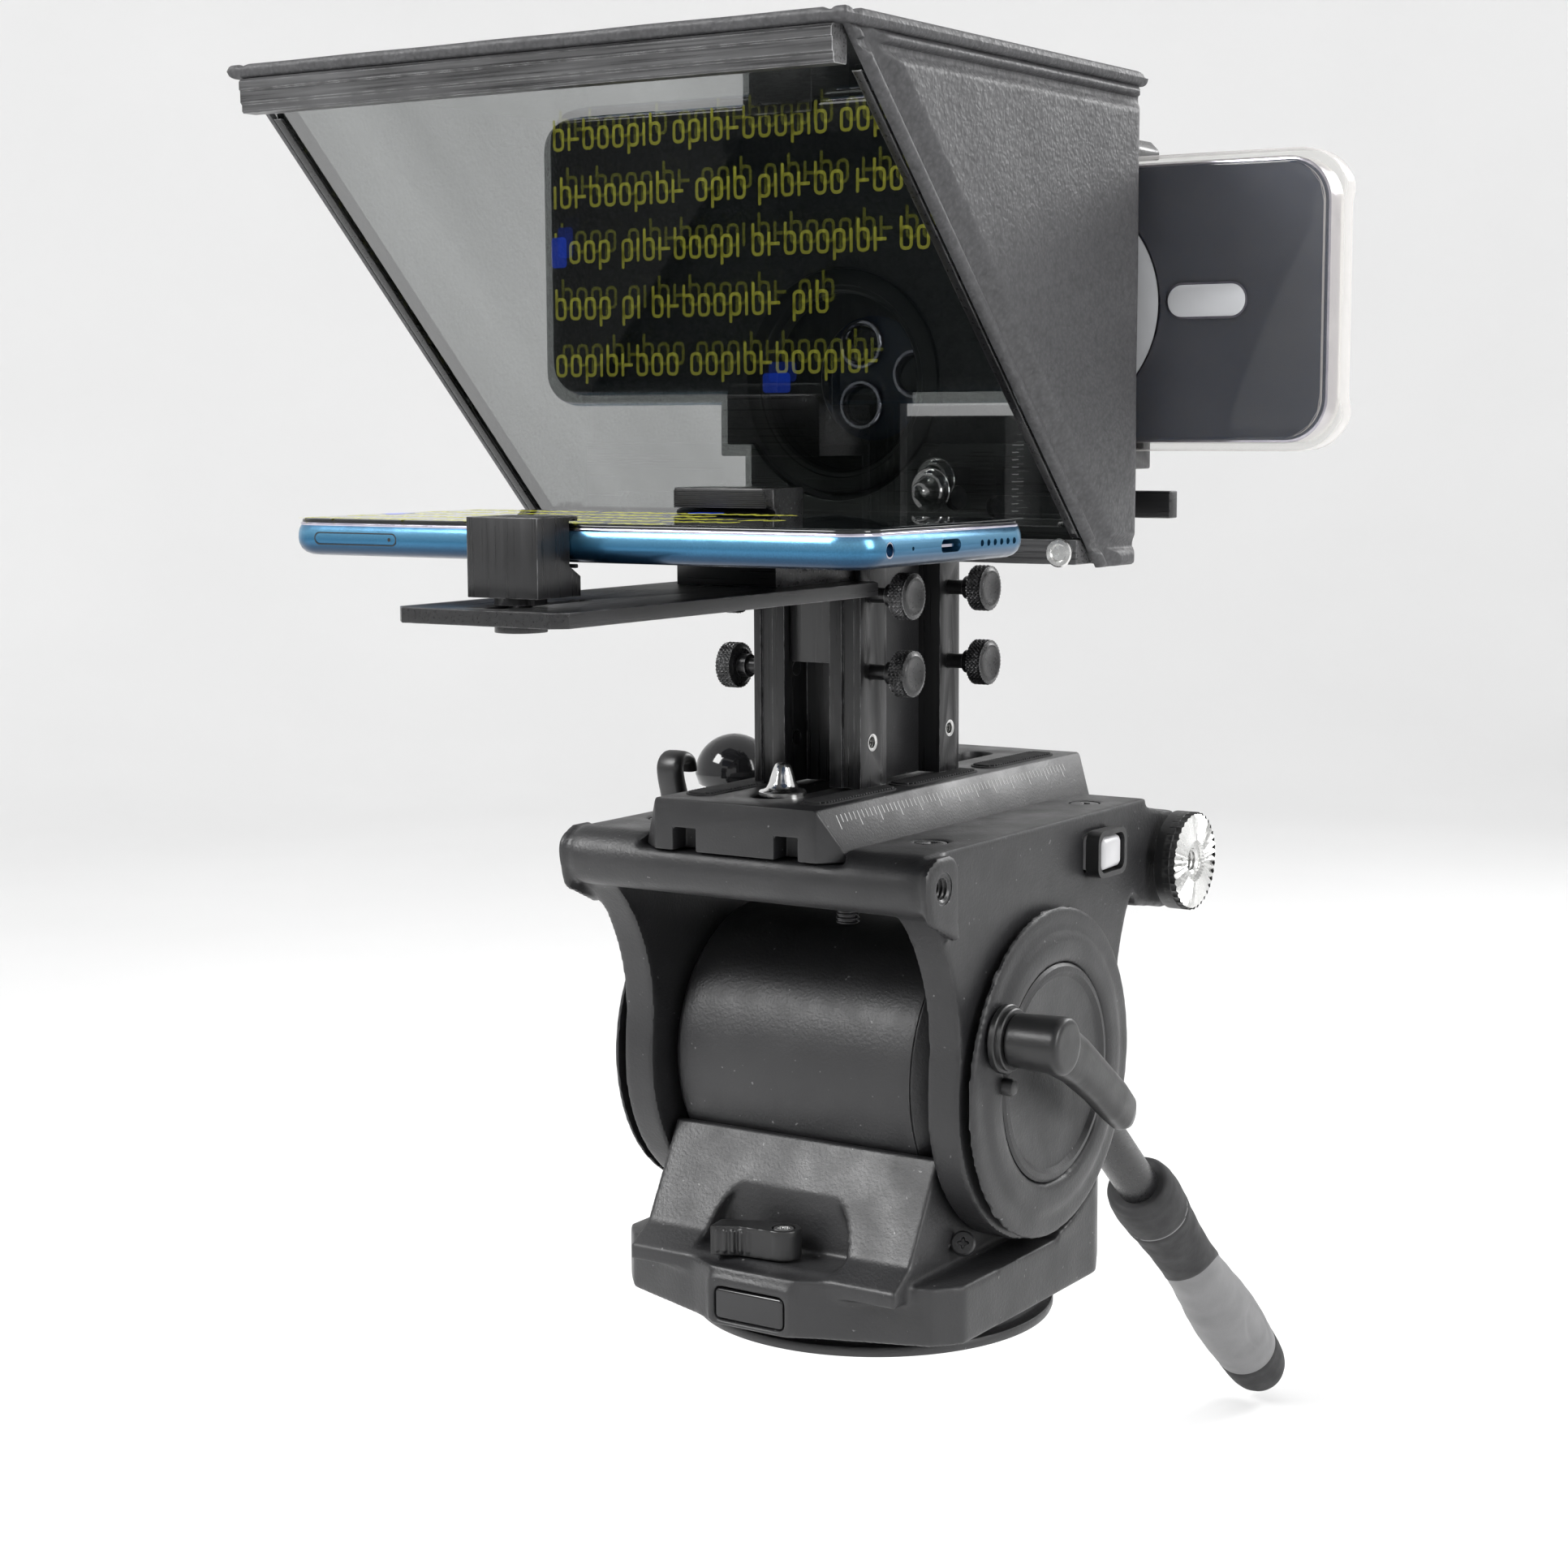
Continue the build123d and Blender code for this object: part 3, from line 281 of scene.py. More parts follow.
def phone_side_painted_light(name, z_low, z_high):
    """Metallic blue with painted light: painted shade makes it dark underneath, and a painted highlight makes
    it pale under the screen.
    """
    paint = Paint(name, (0.1, 0.3, 0.5), 0.22, Metallic=0.75)
    height = paint.node("ShaderNodeSeparateXYZ", {"Vector": paint.place}).outputs["Z"]
    share = paint.remap(height, z_low, z_high)
    ramp = paint.node("ShaderNodeValToRGB", {"Fac": share})
    # Painted shade and highlight: the stops run dark at the bottom, brightest at 0.8 as a painted highlight
    # band, and a little darker at the very top.
    shade_and_highlight_stops = ((0.0, (0.008, 0.02, 0.045)), (0.3, (0.015, 0.055, 0.11)), (0.55, (0.04, 0.16, 0.29)),
             (0.8, (0.10, 0.27, 0.42)), (1.0, (0.07, 0.18, 0.31)))
    while len(ramp.color_ramp.elements) < len(shade_and_highlight_stops):
        ramp.color_ramp.elements.new(0.5)
    for element, (at, colour) in zip(ramp.color_ramp.elements, shade_and_highlight_stops):
        element.position, element.color = at, (*colour, 1)
    flake = paint.remap(paint.noise(2600, 1), 0.3, 0.7, 0.9, 1.1)
    tone = paint.node("ShaderNodeVectorMath", {0: ramp.outputs[0], 1: flake}, operation="MULTIPLY").outputs[0]
    paint.colour(tone)
    paint.rough(paint.remap(paint.noise(300, 3), 0.3, 0.7, 0.18, 0.27))
    return paint.material


def lit(name, colour, strength):
    """A dim lit mark on a screen, under its glass."""
    paint = Paint(name, colour, 0.06, Emission_Strength=strength)
    pixels = paint.remap(paint.cells(3500, feature="F1"), 0.0, 0.6, 1.1, 0.8)
    glow = paint.node("ShaderNodeVectorMath", {0: colour, 1: pixels}, operation="MULTIPLY").outputs[0]
    paint.set(paint.shader, {"Emission Color": glow})
    return paint.material


def floor_paint(name):
    paint = Paint(name, (0.82, 0.82, 0.82), 0.8, Specular_IOR_Level=0.1)
    paint.colour(paint.mix(paint.noise(3, 3), (0.84, 0.84, 0.84), (0.9, 0.9, 0.9)))
    return paint.material


COAT = powder_coat("coat_satin", (0.012, 0.012, 0.013), (0.02, 0.02, 0.021))
COAT_PLATE = powder_coat("coat_plate", (0.009, 0.009, 0.01), (0.015, 0.015, 0.016), 1500, 0.0001)
ANODISED_X = anodised("anodised_x", "X")
ANODISED_Y = anodised("anodised_y", "Y")
ANODISED_Z = anodised("anodised_z", "Z")
BAR_SCRATCHED = anodised("bar_scratched", "X", high=(0.07, 0.07, 0.072), rough=(0.2, 0.45), wear=1.0)
PLASTIC = moulded("plastic_satin", (0.006, 0.006, 0.0065), (0.011, 0.011, 0.0115))
RUBBER = moulded("rubber_matt", (0.011, 0.011, 0.012), (0.02, 0.02, 0.021), (0.6, 0.8), 1100, 0.00009,
                 wear=0.1)
GRIP = moulded("grip_soft_grey", (0.15, 0.15, 0.153), (0.19, 0.19, 0.193), (0.5, 0.62), 1300, 0.0001,
               (0.4, 0.4, 0.4), 0.15)
BUTTON = moulded("button_satin", (0.42, 0.42, 0.43), (0.52, 0.52, 0.53), (0.28, 0.38), 1500, 0.00004,
                 (0.75, 0.75, 0.75), 0.5)
WHITE_MARK = moulded("mark_pale", (0.62, 0.63, 0.65), (0.7, 0.71, 0.73), (0.3, 0.4), 1500, 0.00002,
                     (0.8, 0.8, 0.8), 0.2)
TICK = moulded("tick_pale", (0.4, 0.4, 0.4), (0.6, 0.6, 0.6), (0.5, 0.6), 1500, 0.00002, (0.6, 0.6, 0.6), 0.1)
GLOSS = glazed("gloss_black", (0.006, 0.006, 0.007), (0.012, 0.012, 0.013), (0.06, 0.13))
STEEL = metal("steel_turned", (0.55, 0.55, 0.54), (0.7, 0.7, 0.69))
CHROME = metal("nickel_bright", (0.7, 0.7, 0.7), (0.86, 0.86, 0.85), (0.08, 0.2))
RIM = metal("rim_silver", (0.42, 0.40, 0.5), (0.6, 0.58, 0.66), (0.12, 0.22))
LEATHER = leather("leather_pebbled", (0.036, 0.036, 0.038), (0.066, 0.066, 0.069))
LINING = velour("lining_velour", (0.01, 0.01, 0.011), (0.03, 0.03, 0.032))
MIRROR = splitter("splitter_coated")
GLASS_EDGE = see_through("glass_edge", (0.93, 0.95, 0.94), (0.1, 0.14, 0.13), 0.03, 0.5)
CLEAR = see_through("clear_soft", (0.93, 0.93, 0.92), (0.75, 0.72, 0.7), 0.05, 0.75, 0.12)
SCREEN = glazed("screen_glass", (0.004, 0.005, 0.006), (0.008, 0.01, 0.011), (0.015, 0.04))
BACK_GLASS = glazed("back_glass", (0.013, 0.023, 0.05), (0.017, 0.029, 0.06), (0.03, 0.08))
LENS = glazed("lens_glass", (0.002, 0.002, 0.004), (0.006, 0.006, 0.012), (0.01, 0.03))
# Near black: the tray seam's own dark, and painted shade for the pinhole shown as a dark disc.
SEAM_AND_PAINTED_SHADE = moulded("seam_and_painted_shade_dark", (0.004, 0.004, 0.004), (0.008, 0.008, 0.008), (0.5, 0.7), wear=0.0)
TEXT_LIT = lit("text_lit", (0.42, 0.42, 0.05), 0.55)
TAB_LIT = lit("tab_lit", (0.01, 0.05, 0.5), 0.6)

# ================= shapes, in millimetres =================

def on_x(u, v, w):
    """An outline in Y and Z that is pushed along X."""
    return (w, u, v)


def on_y(u, v, w):
    """An outline in X and Z that is pushed along Y."""
    return (u, w, v)


def on_z(u, v, w):
    """An outline in X and Y that is pushed along Z."""
    return (u, v, w)


def piece(name, bm, body, materials, replaces=(), smooth=32):
    """Turns a bmesh in millimetres into a finished object on a body."""
    bmesh.ops.recalc_face_normals(bm, faces=bm.faces)
    bm.transform(Matrix.Scale(MM, 4))
    mesh = bpy.data.meshes.new(name)
    bm.to_mesh(mesh)
    bm.free()
    return dressed(bpy.data.objects.new(name, mesh), body, materials, replaces, smooth)


def dressed(obj, body, materials, replaces=(), smooth=32):
    """Gives an object its materials, shading and body."""
    if obj.name not in bpy.context.scene.collection.objects:
        bpy.context.scene.collection.objects.link(obj)
    obj.data.materials.clear()
    for material in materials if isinstance(materials, (list, tuple)) else (materials,):
        obj.data.materials.append(material)
    obj.data.shade_smooth()
    if smooth < 180:
        obj.data.set_sharp_from_angle(angle=radians(smooth))
    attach(obj, body)
    if replaces:
        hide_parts(*replaces)
    return obj


def bake(obj):
    """Applies an object's modifiers."""
    bpy.context.view_layer.update()
    done = bpy.data.meshes.new_from_object(obj.evaluated_get(bpy.context.evaluated_depsgraph_get()))
    obj.modifiers.clear()
    obj.data = done


def skin(bm, loops, caps=True, closed=True, index=0):
    """Quads between successive loops of points."""
    rows = [[bm.verts.new(p) for p in loop] for loop in loops]
    count = len(rows[0])
    for a, b in zip(rows, rows[1:]):
        for i in range(count if closed else count - 1):
            j = (i + 1) % count
            bm.faces.new((a[i], a[j], b[j], b[i])).material_index = index
    if caps:
        for row in (rows[0], rows[-1]):
            bm.faces.new(row).material_index = index
    return rows


def axes_along(direction):
    """Two unit vectors across a direction, and the direction."""
    along = Vector(direction).normalized()
    side = Vector((0, 0, 1)) if abs(along.z) < 0.9 else Vector((1, 0, 0))
    u = side.cross(along).normalized()
    return u, along.cross(u), along


def ring(centre, u, v, radius, steps):
    """Evenly spaced points on a circle across two unit vectors."""
    angles = [2 * pi * k / steps for k in range(steps)]
    return [centre + (u * cos(angle) + v * sin(angle)) * radius for angle in angles]


def lathe(bm, profile, origin, direction, steps=72, ripple=None, index=0):
    """Turns a profile of (distance along, radius) about an axis."""
    u, v, along = axes_along(direction)
    loops = []
    for distance, radius in profile:
        loop = []
        for k in range(steps):
            angle = 2 * pi * k / steps
            r = radius + (ripple(angle, distance, radius) if ripple else 0)
            loop.append(Vector(origin) + along * distance + (u * cos(angle) + v * sin(angle)) * r)
        loops.append(loop)
    skin(bm, loops, index=index)


def rounded(points, radius, steps=5):
    """An outline with its corners rounded. radius is one number, or one for each corner."""
    out = []
    for i, point in enumerate(points):
        wanted = radius[i] if isinstance(radius, (list, tuple)) else radius
        p = Vector(point)
        a, b = Vector(points[i - 1]) - p, Vector(points[(i + 1) % len(points)]) - p
        if wanted <= 0:
            out.append((p.x, p.y))
            continue
        half = a.angle(b) / 2
        cut = min(wanted / tan(half), 0.49 * a.length, 0.49 * b.length)
        r = cut * tan(half)
        centre = p + (a.normalized() + b.normalized()).normalized() * (r / sin(half))
        first, last = p + a.normalized() * cut - centre, p + b.normalized() * cut - centre
        start = atan2(first.y, first.x)
        sweep = (atan2(last.y, last.x) - start + pi) % (2 * pi) - pi
        for s in range(steps + 1):
            angle = start + sweep * s / steps
            out.append((centre.x + r * cos(angle), centre.y + r * sin(angle)))
    return out


def rectangle(x0, x1, y0, y1, radius=0.0, steps=5):
    return rounded([(x0, y0), (x1, y0), (x1, y1), (x0, y1)], radius, steps)


def circle(x, y, r, steps=32):
    return [(x + r * cos(2 * pi * k / steps), y + r * sin(2 * pi * k / steps)) for k in range(steps)]


def pill(x, y, length, width, upright=False, steps=10):
    """A slot shape centred on x, y."""
    a, b = (length / 2, width / 2) if not upright else (width / 2, length / 2)
    return rectangle(x - a, x + a, y - b, y + b, min(a, b) * 0.999, steps)


def inset(outline, distance):
    """The outline moved inwards by a small distance."""
    area = sum(a[0] * b[1] - b[0] * a[1] for a, b in zip(outline, outline[1:] + outline[:1]))
    turn = 1 if area > 0 else -1
    out = []
    for i, point in enumerate(outline):
        before, after = Vector(outline[i - 1]), Vector(outline[(i + 1) % len(outline)])
        way = after - before
        if way.length < 1e-9:
            out.append(point)
            continue
        way.normalize()
        out.append((point[0] - turn * way.y * distance, point[1] + turn * way.x * distance))
    return out


def slab(bm, outline, low, high, place, edge=0.4, steps=2, index=0, low_edge=None):
    """A solid from an outline between two levels, with rounded rims."""
    low_edge = edge if low_edge is None else low_edge
    turns = [pi / 2 * k / steps for k in range(steps + 1)]
    loops = [[place(u, v, low + low_edge * (1 - cos(turn))) for u,
              v in inset(outline, low_edge * (1 - sin(turn)))]
             for turn in turns]
    loops += [[place(u, v, high - edge * (1 - cos(turn))) for u, v in inset(outline, edge * (1 - sin(turn)))]
              for turn in reversed(turns)]
    skin(bm, loops, index=index)


def hoop(bm, outer, inner, low, high, place, index=0):
    """A flat ring between two outlines with the same number of points."""
    loops = [[place(u, v, w) for u, v in outline] for outline, w in
             ((inner, low), (outer, low), (outer, high), (inner, high), (inner, low))]
    rows = [[bm.verts.new(p) for p in loop] for loop in loops[:4]]
    count = len(rows[0])
    for a, b in zip(rows, rows[1:] + rows[:1]):
        for i in range(count):
            j = (i + 1) % count
            bm.faces.new((a[i], a[j], b[j], b[i])).material_index = index


def tube(bm, points, radius, steps=12, index=0):
    """A round tube along points, with one radius or one for each point."""
    loops = []
    for i, point in enumerate(points):
        before, after = Vector(points[max(i - 1, 0)]), Vector(points[min(i + 1, len(points) - 1)])
        u, v, _ = axes_along(after - before)
        r = radius[i] if isinstance(radius, (list, tuple)) else radius
        loops.append(ring(Vector(point), u, v, r, steps))
    skin(bm, loops, index=index)


def spline(points, count):
    """Points along a smooth curve through the given ones."""
    rows = [Vector(p) for p in points]
    out = []
    for k in range(count + 1):
        t = k / count * (len(rows) - 1)
        i = min(int(t), len(rows) - 2)
        f = t - i
        p0, p1, p2, p3 = rows[max(i - 1, 0)], rows[i], rows[i + 1], rows[min(i + 2, len(rows) - 1)]
        out.append(0.5 * (2 * p1 + (p2 - p0) * f + (2 * p0 - 5 * p1 + 4 * p2 - p3) * f * f
                          + (3 * p1 - p0 - 3 * p2 + p3) * f ** 3))
    return out


def cad_shape(bm, *nodes):
    """Adds CAD nodes' shapes to a bmesh, in millimetres, with their flat faces whole."""
    for node in nodes:
        mesh = NODES[node].data
        verts = [bm.verts.new(v.co / MM) for v in mesh.vertices]
        for polygon in mesh.polygons:
            try:
                bm.faces.new([verts[i] for i in polygon.vertices])
            except ValueError:
                pass
    bmesh.ops.remove_doubles(bm, verts=bm.verts, dist=0.002)
    bmesh.ops.dissolve_degenerate(bm, edges=bm.edges, dist=0.001)


def refined(node, material, width=0.35, segments=2, angle=38, name=None):
    """A CAD node with its sharp edges rounded."""
    bm = bmesh.new()
    cad_shape(bm, node)
    bmesh.ops.dissolve_limit(bm, angle_limit=radians(0.6), verts=bm.verts, edges=bm.edges)
    obj = piece(name or f"{node}_fine", bm, BODY_OF[node], material, (node,))
    bevel = obj.modifiers.new("rim", "BEVEL")
    bevel.width, bevel.segments, bevel.limit_method = width * MM, segments, "ANGLE"
    bevel.angle_limit, bevel.use_clamp_overlap, bevel.harden_normals = radians(angle), True, False
    bake(obj)
    obj.data.shade_smooth()
    obj.data.set_sharp_from_angle(angle=radians(32))
    return obj


def cast(name, nodes, material, voxel=0.8, passes=6, extra=None, smooth=50):
    """CAD nodes and extra solids melted into one casting with softened edges."""
    bm = bmesh.new()
    cad_shape(bm, *nodes)
    if extra:
        extra(bm)
    obj = piece(name, bm, BODY_OF[nodes[0]], material, nodes)
    remesh = obj.modifiers.new("melt", "REMESH")
    remesh.mode, remesh.voxel_size = "VOXEL", voxel * MM
    relax = obj.modifiers.new("relax", "SMOOTH")
    relax.factor, relax.iterations = 0.5, passes
    bake(obj)
    return dressed(obj, BODY_OF[nodes[0]], material, nodes, smooth)


def carve(obj, cutters):
    """Cuts shapes, in a bmesh in millimetres, out of an object."""
    bmesh.ops.recalc_face_normals(cutters, faces=cutters.faces)
    cutters.transform(Matrix.Scale(MM, 4))
    mesh = bpy.data.meshes.new("cutter")
    cutters.to_mesh(mesh)
    cutters.free()
    tool = bpy.data.objects.new("cutter", mesh)
    bpy.context.scene.collection.objects.link(tool)
    cut = obj.modifiers.new("cut", "BOOLEAN")
    cut.operation, cut.solver, cut.object = "DIFFERENCE", "EXACT", tool
    cut.use_self = True
    bake(obj)
    bpy.data.objects.remove(tool)
    obj.data.shade_smooth()
    obj.data.set_sharp_from_angle(angle=radians(32))


def smoothstep(t):
    t = min(max(t, 0.0), 1.0)
    return t * t * (3 - 2 * t)


def thread(bm, origin, direction, radius, length, wall=0.9, pitch=1.27, index=0):
    """A threaded sleeve that lines a hole, from its mouth inwards."""
    profile = [(0, radius + wall), (0, radius + 0.1)]
    turns = int(length / pitch)
    for k in range(turns):
        profile += [((k + 0.3) * pitch, radius - 0.45), ((k + 0.5) * pitch, radius - 0.45),
                    ((k + 0.9) * pitch, radius + 0.1)]
    profile += [(length, radius - 0.3), (length, 0.05)]
    profile += [(length + 0.4, 0.05), (length + 0.4, radius + wall)]
    loops = []
    u, v, along = axes_along(direction)
    for distance, r in profile:
        loops.append(ring(Vector(origin) + along * distance, u, v, r, 40))
    rows = skin(bm, loops, caps=False, index=index)
    for i in range(40):
        j = (i + 1) % 40
        bm.faces.new((rows[-1][i], rows[-1][j], rows[0][j], rows[0][i])).material_index = index

# ================= camera, floor and light =================

AZIMUTH, ELEVATION, ROLL = radians(33.14), radians(7.49), radians(-0.275)
CAMERA_AT = Vector((0.3916, -0.6444, 0.2446))
FOCAL_MM, SENSOR_MM = 63.91, 36.0
FLOOR_Z = cad_box[0][2] - 0.004


def make_camera():
    """The camera, looking at the glass from the right and a little above the tray."""
    back = Vector((sin(AZIMUTH) * cos(ELEVATION), -cos(AZIMUTH) * cos(ELEVATION), sin(ELEVATION)))
    level = Vector((cos(AZIMUTH), sin(AZIMUTH), 0))
    upright = back.cross(level)
    right = cos(ROLL) * level + sin(ROLL) * upright
    up = -sin(ROLL) * level + cos(ROLL) * upright
    data = bpy.data.cameras.new("camera")
    data.lens, data.sensor_width, data.clip_start = FOCAL_MM, SENSOR_MM, 0.01
    camera = bpy.data.objects.new("camera", data)
    columns = Matrix((right, up, back)).transposed().to_4x4()
    camera.matrix_world = Matrix.Translation(CAMERA_AT) @ columns
    bpy.context.scene.collection.objects.link(camera)
    bpy.context.scene.camera = camera


def area_light(name, at, toward, size, power, colour=(1, 1, 1)):
    """A soft rectangular light that faces a point."""
    data = bpy.data.lights.new(name, "AREA")
    data.shape, data.size, data.size_y = "RECTANGLE", size[0], size[1]
    data.energy, data.color = power, colour
    light = bpy.data.objects.new(name, data)
    light.location = at
    light.rotation_euler = (Vector(toward) - Vector(at)).to_track_quat("-Z", "Y").to_euler()
    bpy.context.scene.collection.objects.link(light)


def make_stage():
    """A pale floor that curves up into a round backdrop, under an even white sky."""
    bm = bmesh.new()
    profile = [(0, 0.05), (0, 2200)] + [(900 * (1 - cos(radians(a))), 2200 + 900 * sin(radians(a)))
                                        for a in range(10, 91, 10)] + [(2600, 3100)]
    loops = [[Vector((r * cos(2 * pi * k / 96), r * sin(2 * pi * k / 96),
                      FLOOR_Z / MM + z)) for k in range(96)]
             for z, r in profile]
    skin(bm, loops, caps=False)
    bm.transform(Matrix.Scale(MM, 4))
    mesh = bpy.data.meshes.new("floor")
    bm.to_mesh(mesh)
    bm.free()
    floor = bpy.data.objects.new("floor", mesh)
    floor.data.materials.append(floor_paint("floor_pale"))
    floor.data.shade_smooth()
    bpy.context.scene.collection.objects.link(floor)
    floor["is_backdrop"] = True
    world = bpy.data.worlds.new("sky")
    bpy.context.scene.world = world
    world.use_nodes = True
    sky = world.node_tree.nodes["Background"]
    sky.inputs["Color"].default_value = (1, 1, 1, 1)
    sky.inputs["Strength"].default_value = 0.7
    bpy.context.scene.view_settings.view_transform = "Standard"
    area_light("key", (-0.75, -1.15, 1.25), (0, 0, 0.1), (0.7, 0.7), 30)
    area_light("side", (1.5, -0.1, 0.75), (0, 0, 0.12), (0.5, 0.9), 14)
    area_light("back", (0.5, 1.5, 0.9), (0, 0, 0.15), (0.8, 0.6), 14)


make_camera()
make_stage()

# ================= hood =================

HOOD_LOW, HOOD_HIGH = box_mm("hood_top")
SIDE_LOW, SIDE_HIGH = box_mm("hood_sides")
WALL = HOOD_HIGH.z - HOOD_LOW.z
REAR, INNER = HOOD_HIGH.y, HOOD_HIGH.x - WALL
SLOPE = SIDE_LOW.y + SIDE_HIGH.z        # y + z along the sloped front edge


def flange(d, ridge, crest, groove, floor, rise=4.0, high=WALL):
    """Height across a sewn border: a rounded ridge, a groove, then the padding's rise."""
    if d < ridge:
        return floor + (crest - floor) * sqrt(max(0.0, 1 - (2 * d / ridge - 1) ** 2))
    if d < ridge + groove:
        return floor
    return floor + (high - floor) * smoothstep((d - ridge - groove) / rise)


def rounded_edge(d, radius, high=WALL):
    return high if d >= radius else high - radius + sqrt(max(0.0, radius ** 2 - (radius - d) ** 2))


def spread(length, near=10.0, far=8.0, fine=22, middle=30):
    """The same number of distances for any length, close together at both ends."""
    near, far = min(near, length * 0.42), min(far, length * 0.42)
    return ([near * k / fine for k in range(fine)]
            + [near + (length - near - far) * k / middle for k in range(middle)]
            + [length - far + far * k / fine for k in range(fine + 1)])


def shell(bm, outer, inner, wrap=False):
    """A closed panel from matching grids of points. Its inner side takes the second material."""
    grids = [[[bm.verts.new(p) for p in row] for row in grid] for grid in (outer, inner)]
    for index, grid in enumerate(grids):
        for a, b in zip(grid, grid[1:]):
            for i in range(len(a) if wrap else len(a) - 1):
                j = (i + 1) % len(a)
                bm.faces.new((a[i], a[j], b[j], b[i])).material_index = index
    for row in (0, -1):
        a, b = grids[0][row], grids[1][row]
        for i in range(len(a) if wrap else len(a) - 1):
            j = (i + 1) % len(a)
            bm.faces.new((a[i], a[j], b[j], b[i]))
    if not wrap:
        for column in (0, -1):
            for k in range(len(outer) - 1):
                bm.faces.new((grids[0][k][column], grids[0][k + 1][column],
                              grids[1][k + 1][column], grids[1][k][column]))


def side_height(y, z):
    """How far a side panel stands out from the lining at y, z."""
    front = (y + z - SLOPE) * sin(radians(45))
    top, rear, bottom = SIDE_HIGH.z - z, REAR - y, z - SIDE_LOW.z
    band = flange(top - 0.4, 2.2, 3.3, 0.9, 1.5, 3.2) if top > 0.4 else 1.8
    return max(0.35, min(flange(front, 3.0, 2.7, 1.9, 0.9, 4.5), band, rounded_edge(rear, 6.0),
                         flange(bottom, 4.2, 2.9, 1.2, 1.3, 3.5))
               + 0.08 * sin(y * 0.21 + z * 0.13) * min(1.0, front / 20))


for side, label in ((1, "right"), (-1, "left")):
    outer, inner = [], []
    for rise in spread(SIDE_HIGH.z - SIDE_LOW.z, 10, 10, 22, 26):
        z = SIDE_LOW.z + rise
        start = SLOPE - z
        row_out, row_in = [], []
        for along in spread(REAR - start, 14, 8, 26, 26):
            y = start + along
            height = side_height(y, z)
            lift = 0.5 * (1 - smoothstep(min(along * 0.7, REAR - y, z - SIDE_LOW.z + 0.2) / 0.8))
            row_out.append((side * (INNER + height), y, z))
            row_in.append((side * (INNER + min(lift, height * 0.5)), y, z))
        outer.append(row_out)
        inner.append(row_in)
    bm = bmesh.new()
    shell(bm, outer, inner)
    panel = piece(f"hood_side_{label}", bm, "prompter", (LEATHER, LINING), ("hood_sides",),
                  60)

outer, inner = [], []
for back in spread(HOOD_HIGH.y - HOOD_LOW.y, 9, 8, 24, 24):
    y = HOOD_LOW.y + back
    row_out, row_in = [], []
    for across in spread(2 * HOOD_HIGH.x, 8, 8, 24, 40):
        x = across - HOOD_HIGH.x
        edge = min(across, 2 * HOOD_HIGH.x - across)
        height = min(flange(back, 3.2, 3.3, 1.2, 2.2, 4.0), rounded_edge(edge, WALL / 2),
                     rounded_edge(HOOD_HIGH.y - y, 5.0), flange(edge, 3.4, 3.5, 0.9, 2.6, 3.0))
        height += 0.05 * sin(x * 0.15 + y * 0.11) * smoothstep(edge / 20)
        under = WALL / 2 - (WALL / 2) * sqrt(max(0.0, 1 - (1 - min(1.0, min(edge, back) / (WALL / 2))) ** 2))
        row_out.append((x, y, HOOD_LOW.z + max(min(height, WALL), under + 0.05)))
        row_in.append((x, y, HOOD_LOW.z + under))
    outer.append(row_out)
    inner.append(row_in)
bm = bmesh.new()
shell(bm, outer, inner)
roof = piece("hood_roof", bm, "prompter", (LEATHER, LINING), ("hood_top",), 60)

RING_LOW, RING_HIGH = box_mm("lens_ring")
AXIS_Z, RING_R = (RING_LOW.z + RING_HIGH.z) / 2, (RING_HIGH.x - RING_LOW.x) / 2
APERTURE = RING_R - 4.5
PANEL_LOW, PANEL_HIGH = box_mm("hood_rear_panel")
angles = sorted([2 * pi * k / 144 for k in range(144)]
                + [atan2(z - AXIS_Z, x) % (2 * pi) for x in (-INNER, INNER) for z in (PANEL_LOW.z,
                                                                                      PANEL_HIGH.z)])
outer, inner = [], []
for k in range(49):
    share = 0.5 - 0.5 * cos(pi * k / 48)
    row_out, row_in = [], []
    for angle in angles:
        c, s = cos(angle), sin(angle)
        reach = min(INNER / abs(c) if abs(c) > 1e-6 else 1e9,
                    ((PANEL_HIGH.z if s > 0 else PANEL_LOW.z) - AXIS_Z) / s if abs(s) > 1e-6 else 1e9)
        r = APERTURE + (reach - APERTURE) * share
        x, z = r * c, AXIS_Z + r * s
        edge = min(INNER - abs(x), z - PANEL_LOW.z, PANEL_HIGH.z - z)
        height = min(flange(edge, 3.4, 2.6, 1.4, 1.2, 4.0),
                     WALL if r > RING_R + 6 else 2.3 + (WALL - 2.3) * smoothstep((r - RING_R - 1) / 5))
        row_out.append((x, PANEL_LOW.y + height, z))
        row_in.append((x, PANEL_LOW.y, z))
    outer.append(row_out)
    inner.append(row_in)
bm = bmesh.new()
shell(bm, outer, inner, wrap=True)
back_panel = piece("hood_back", bm, "prompter", (LEATHER, LINING), ("hood_rear_panel",), 60)

bm = bmesh.new()
face = RING_LOW.y
inner_r = APERTURE - 2
profile = [(0.0, RING_R - 0.5), (0.15, RING_R - 0.15), (0.5, RING_R), (1.4, RING_R), (1.5, APERTURE),
           (4.6, APERTURE), (5.3, APERTURE - 0.3), (5.6, APERTURE - 0.8), (5.6, inner_r + 0.4),
           (5.2, inner_r)]
profile += [(5.0 - 0.35 * k, inner_r + (0.32 if k % 2 else 0)) for k in range(11)]
profile += [(0.9, inner_r + 0.2), (0.35, inner_r + 0.9), (0.35, inner_r + 1.9), (0.0, inner_r + 2.2)]
rings = [[Vector((r * cos(2 * pi * k / 128), face + d,
                  AXIS_Z + r * sin(2 * pi * k / 128))) for k in range(128)]
         for d, r in profile]
skin(bm, rings + rings[:1], caps=False)
bmesh.ops.remove_doubles(bm, verts=bm.verts, dist=1e-4)
piece("lens_collar", bm, "prompter", PLASTIC, ("lens_ring",))

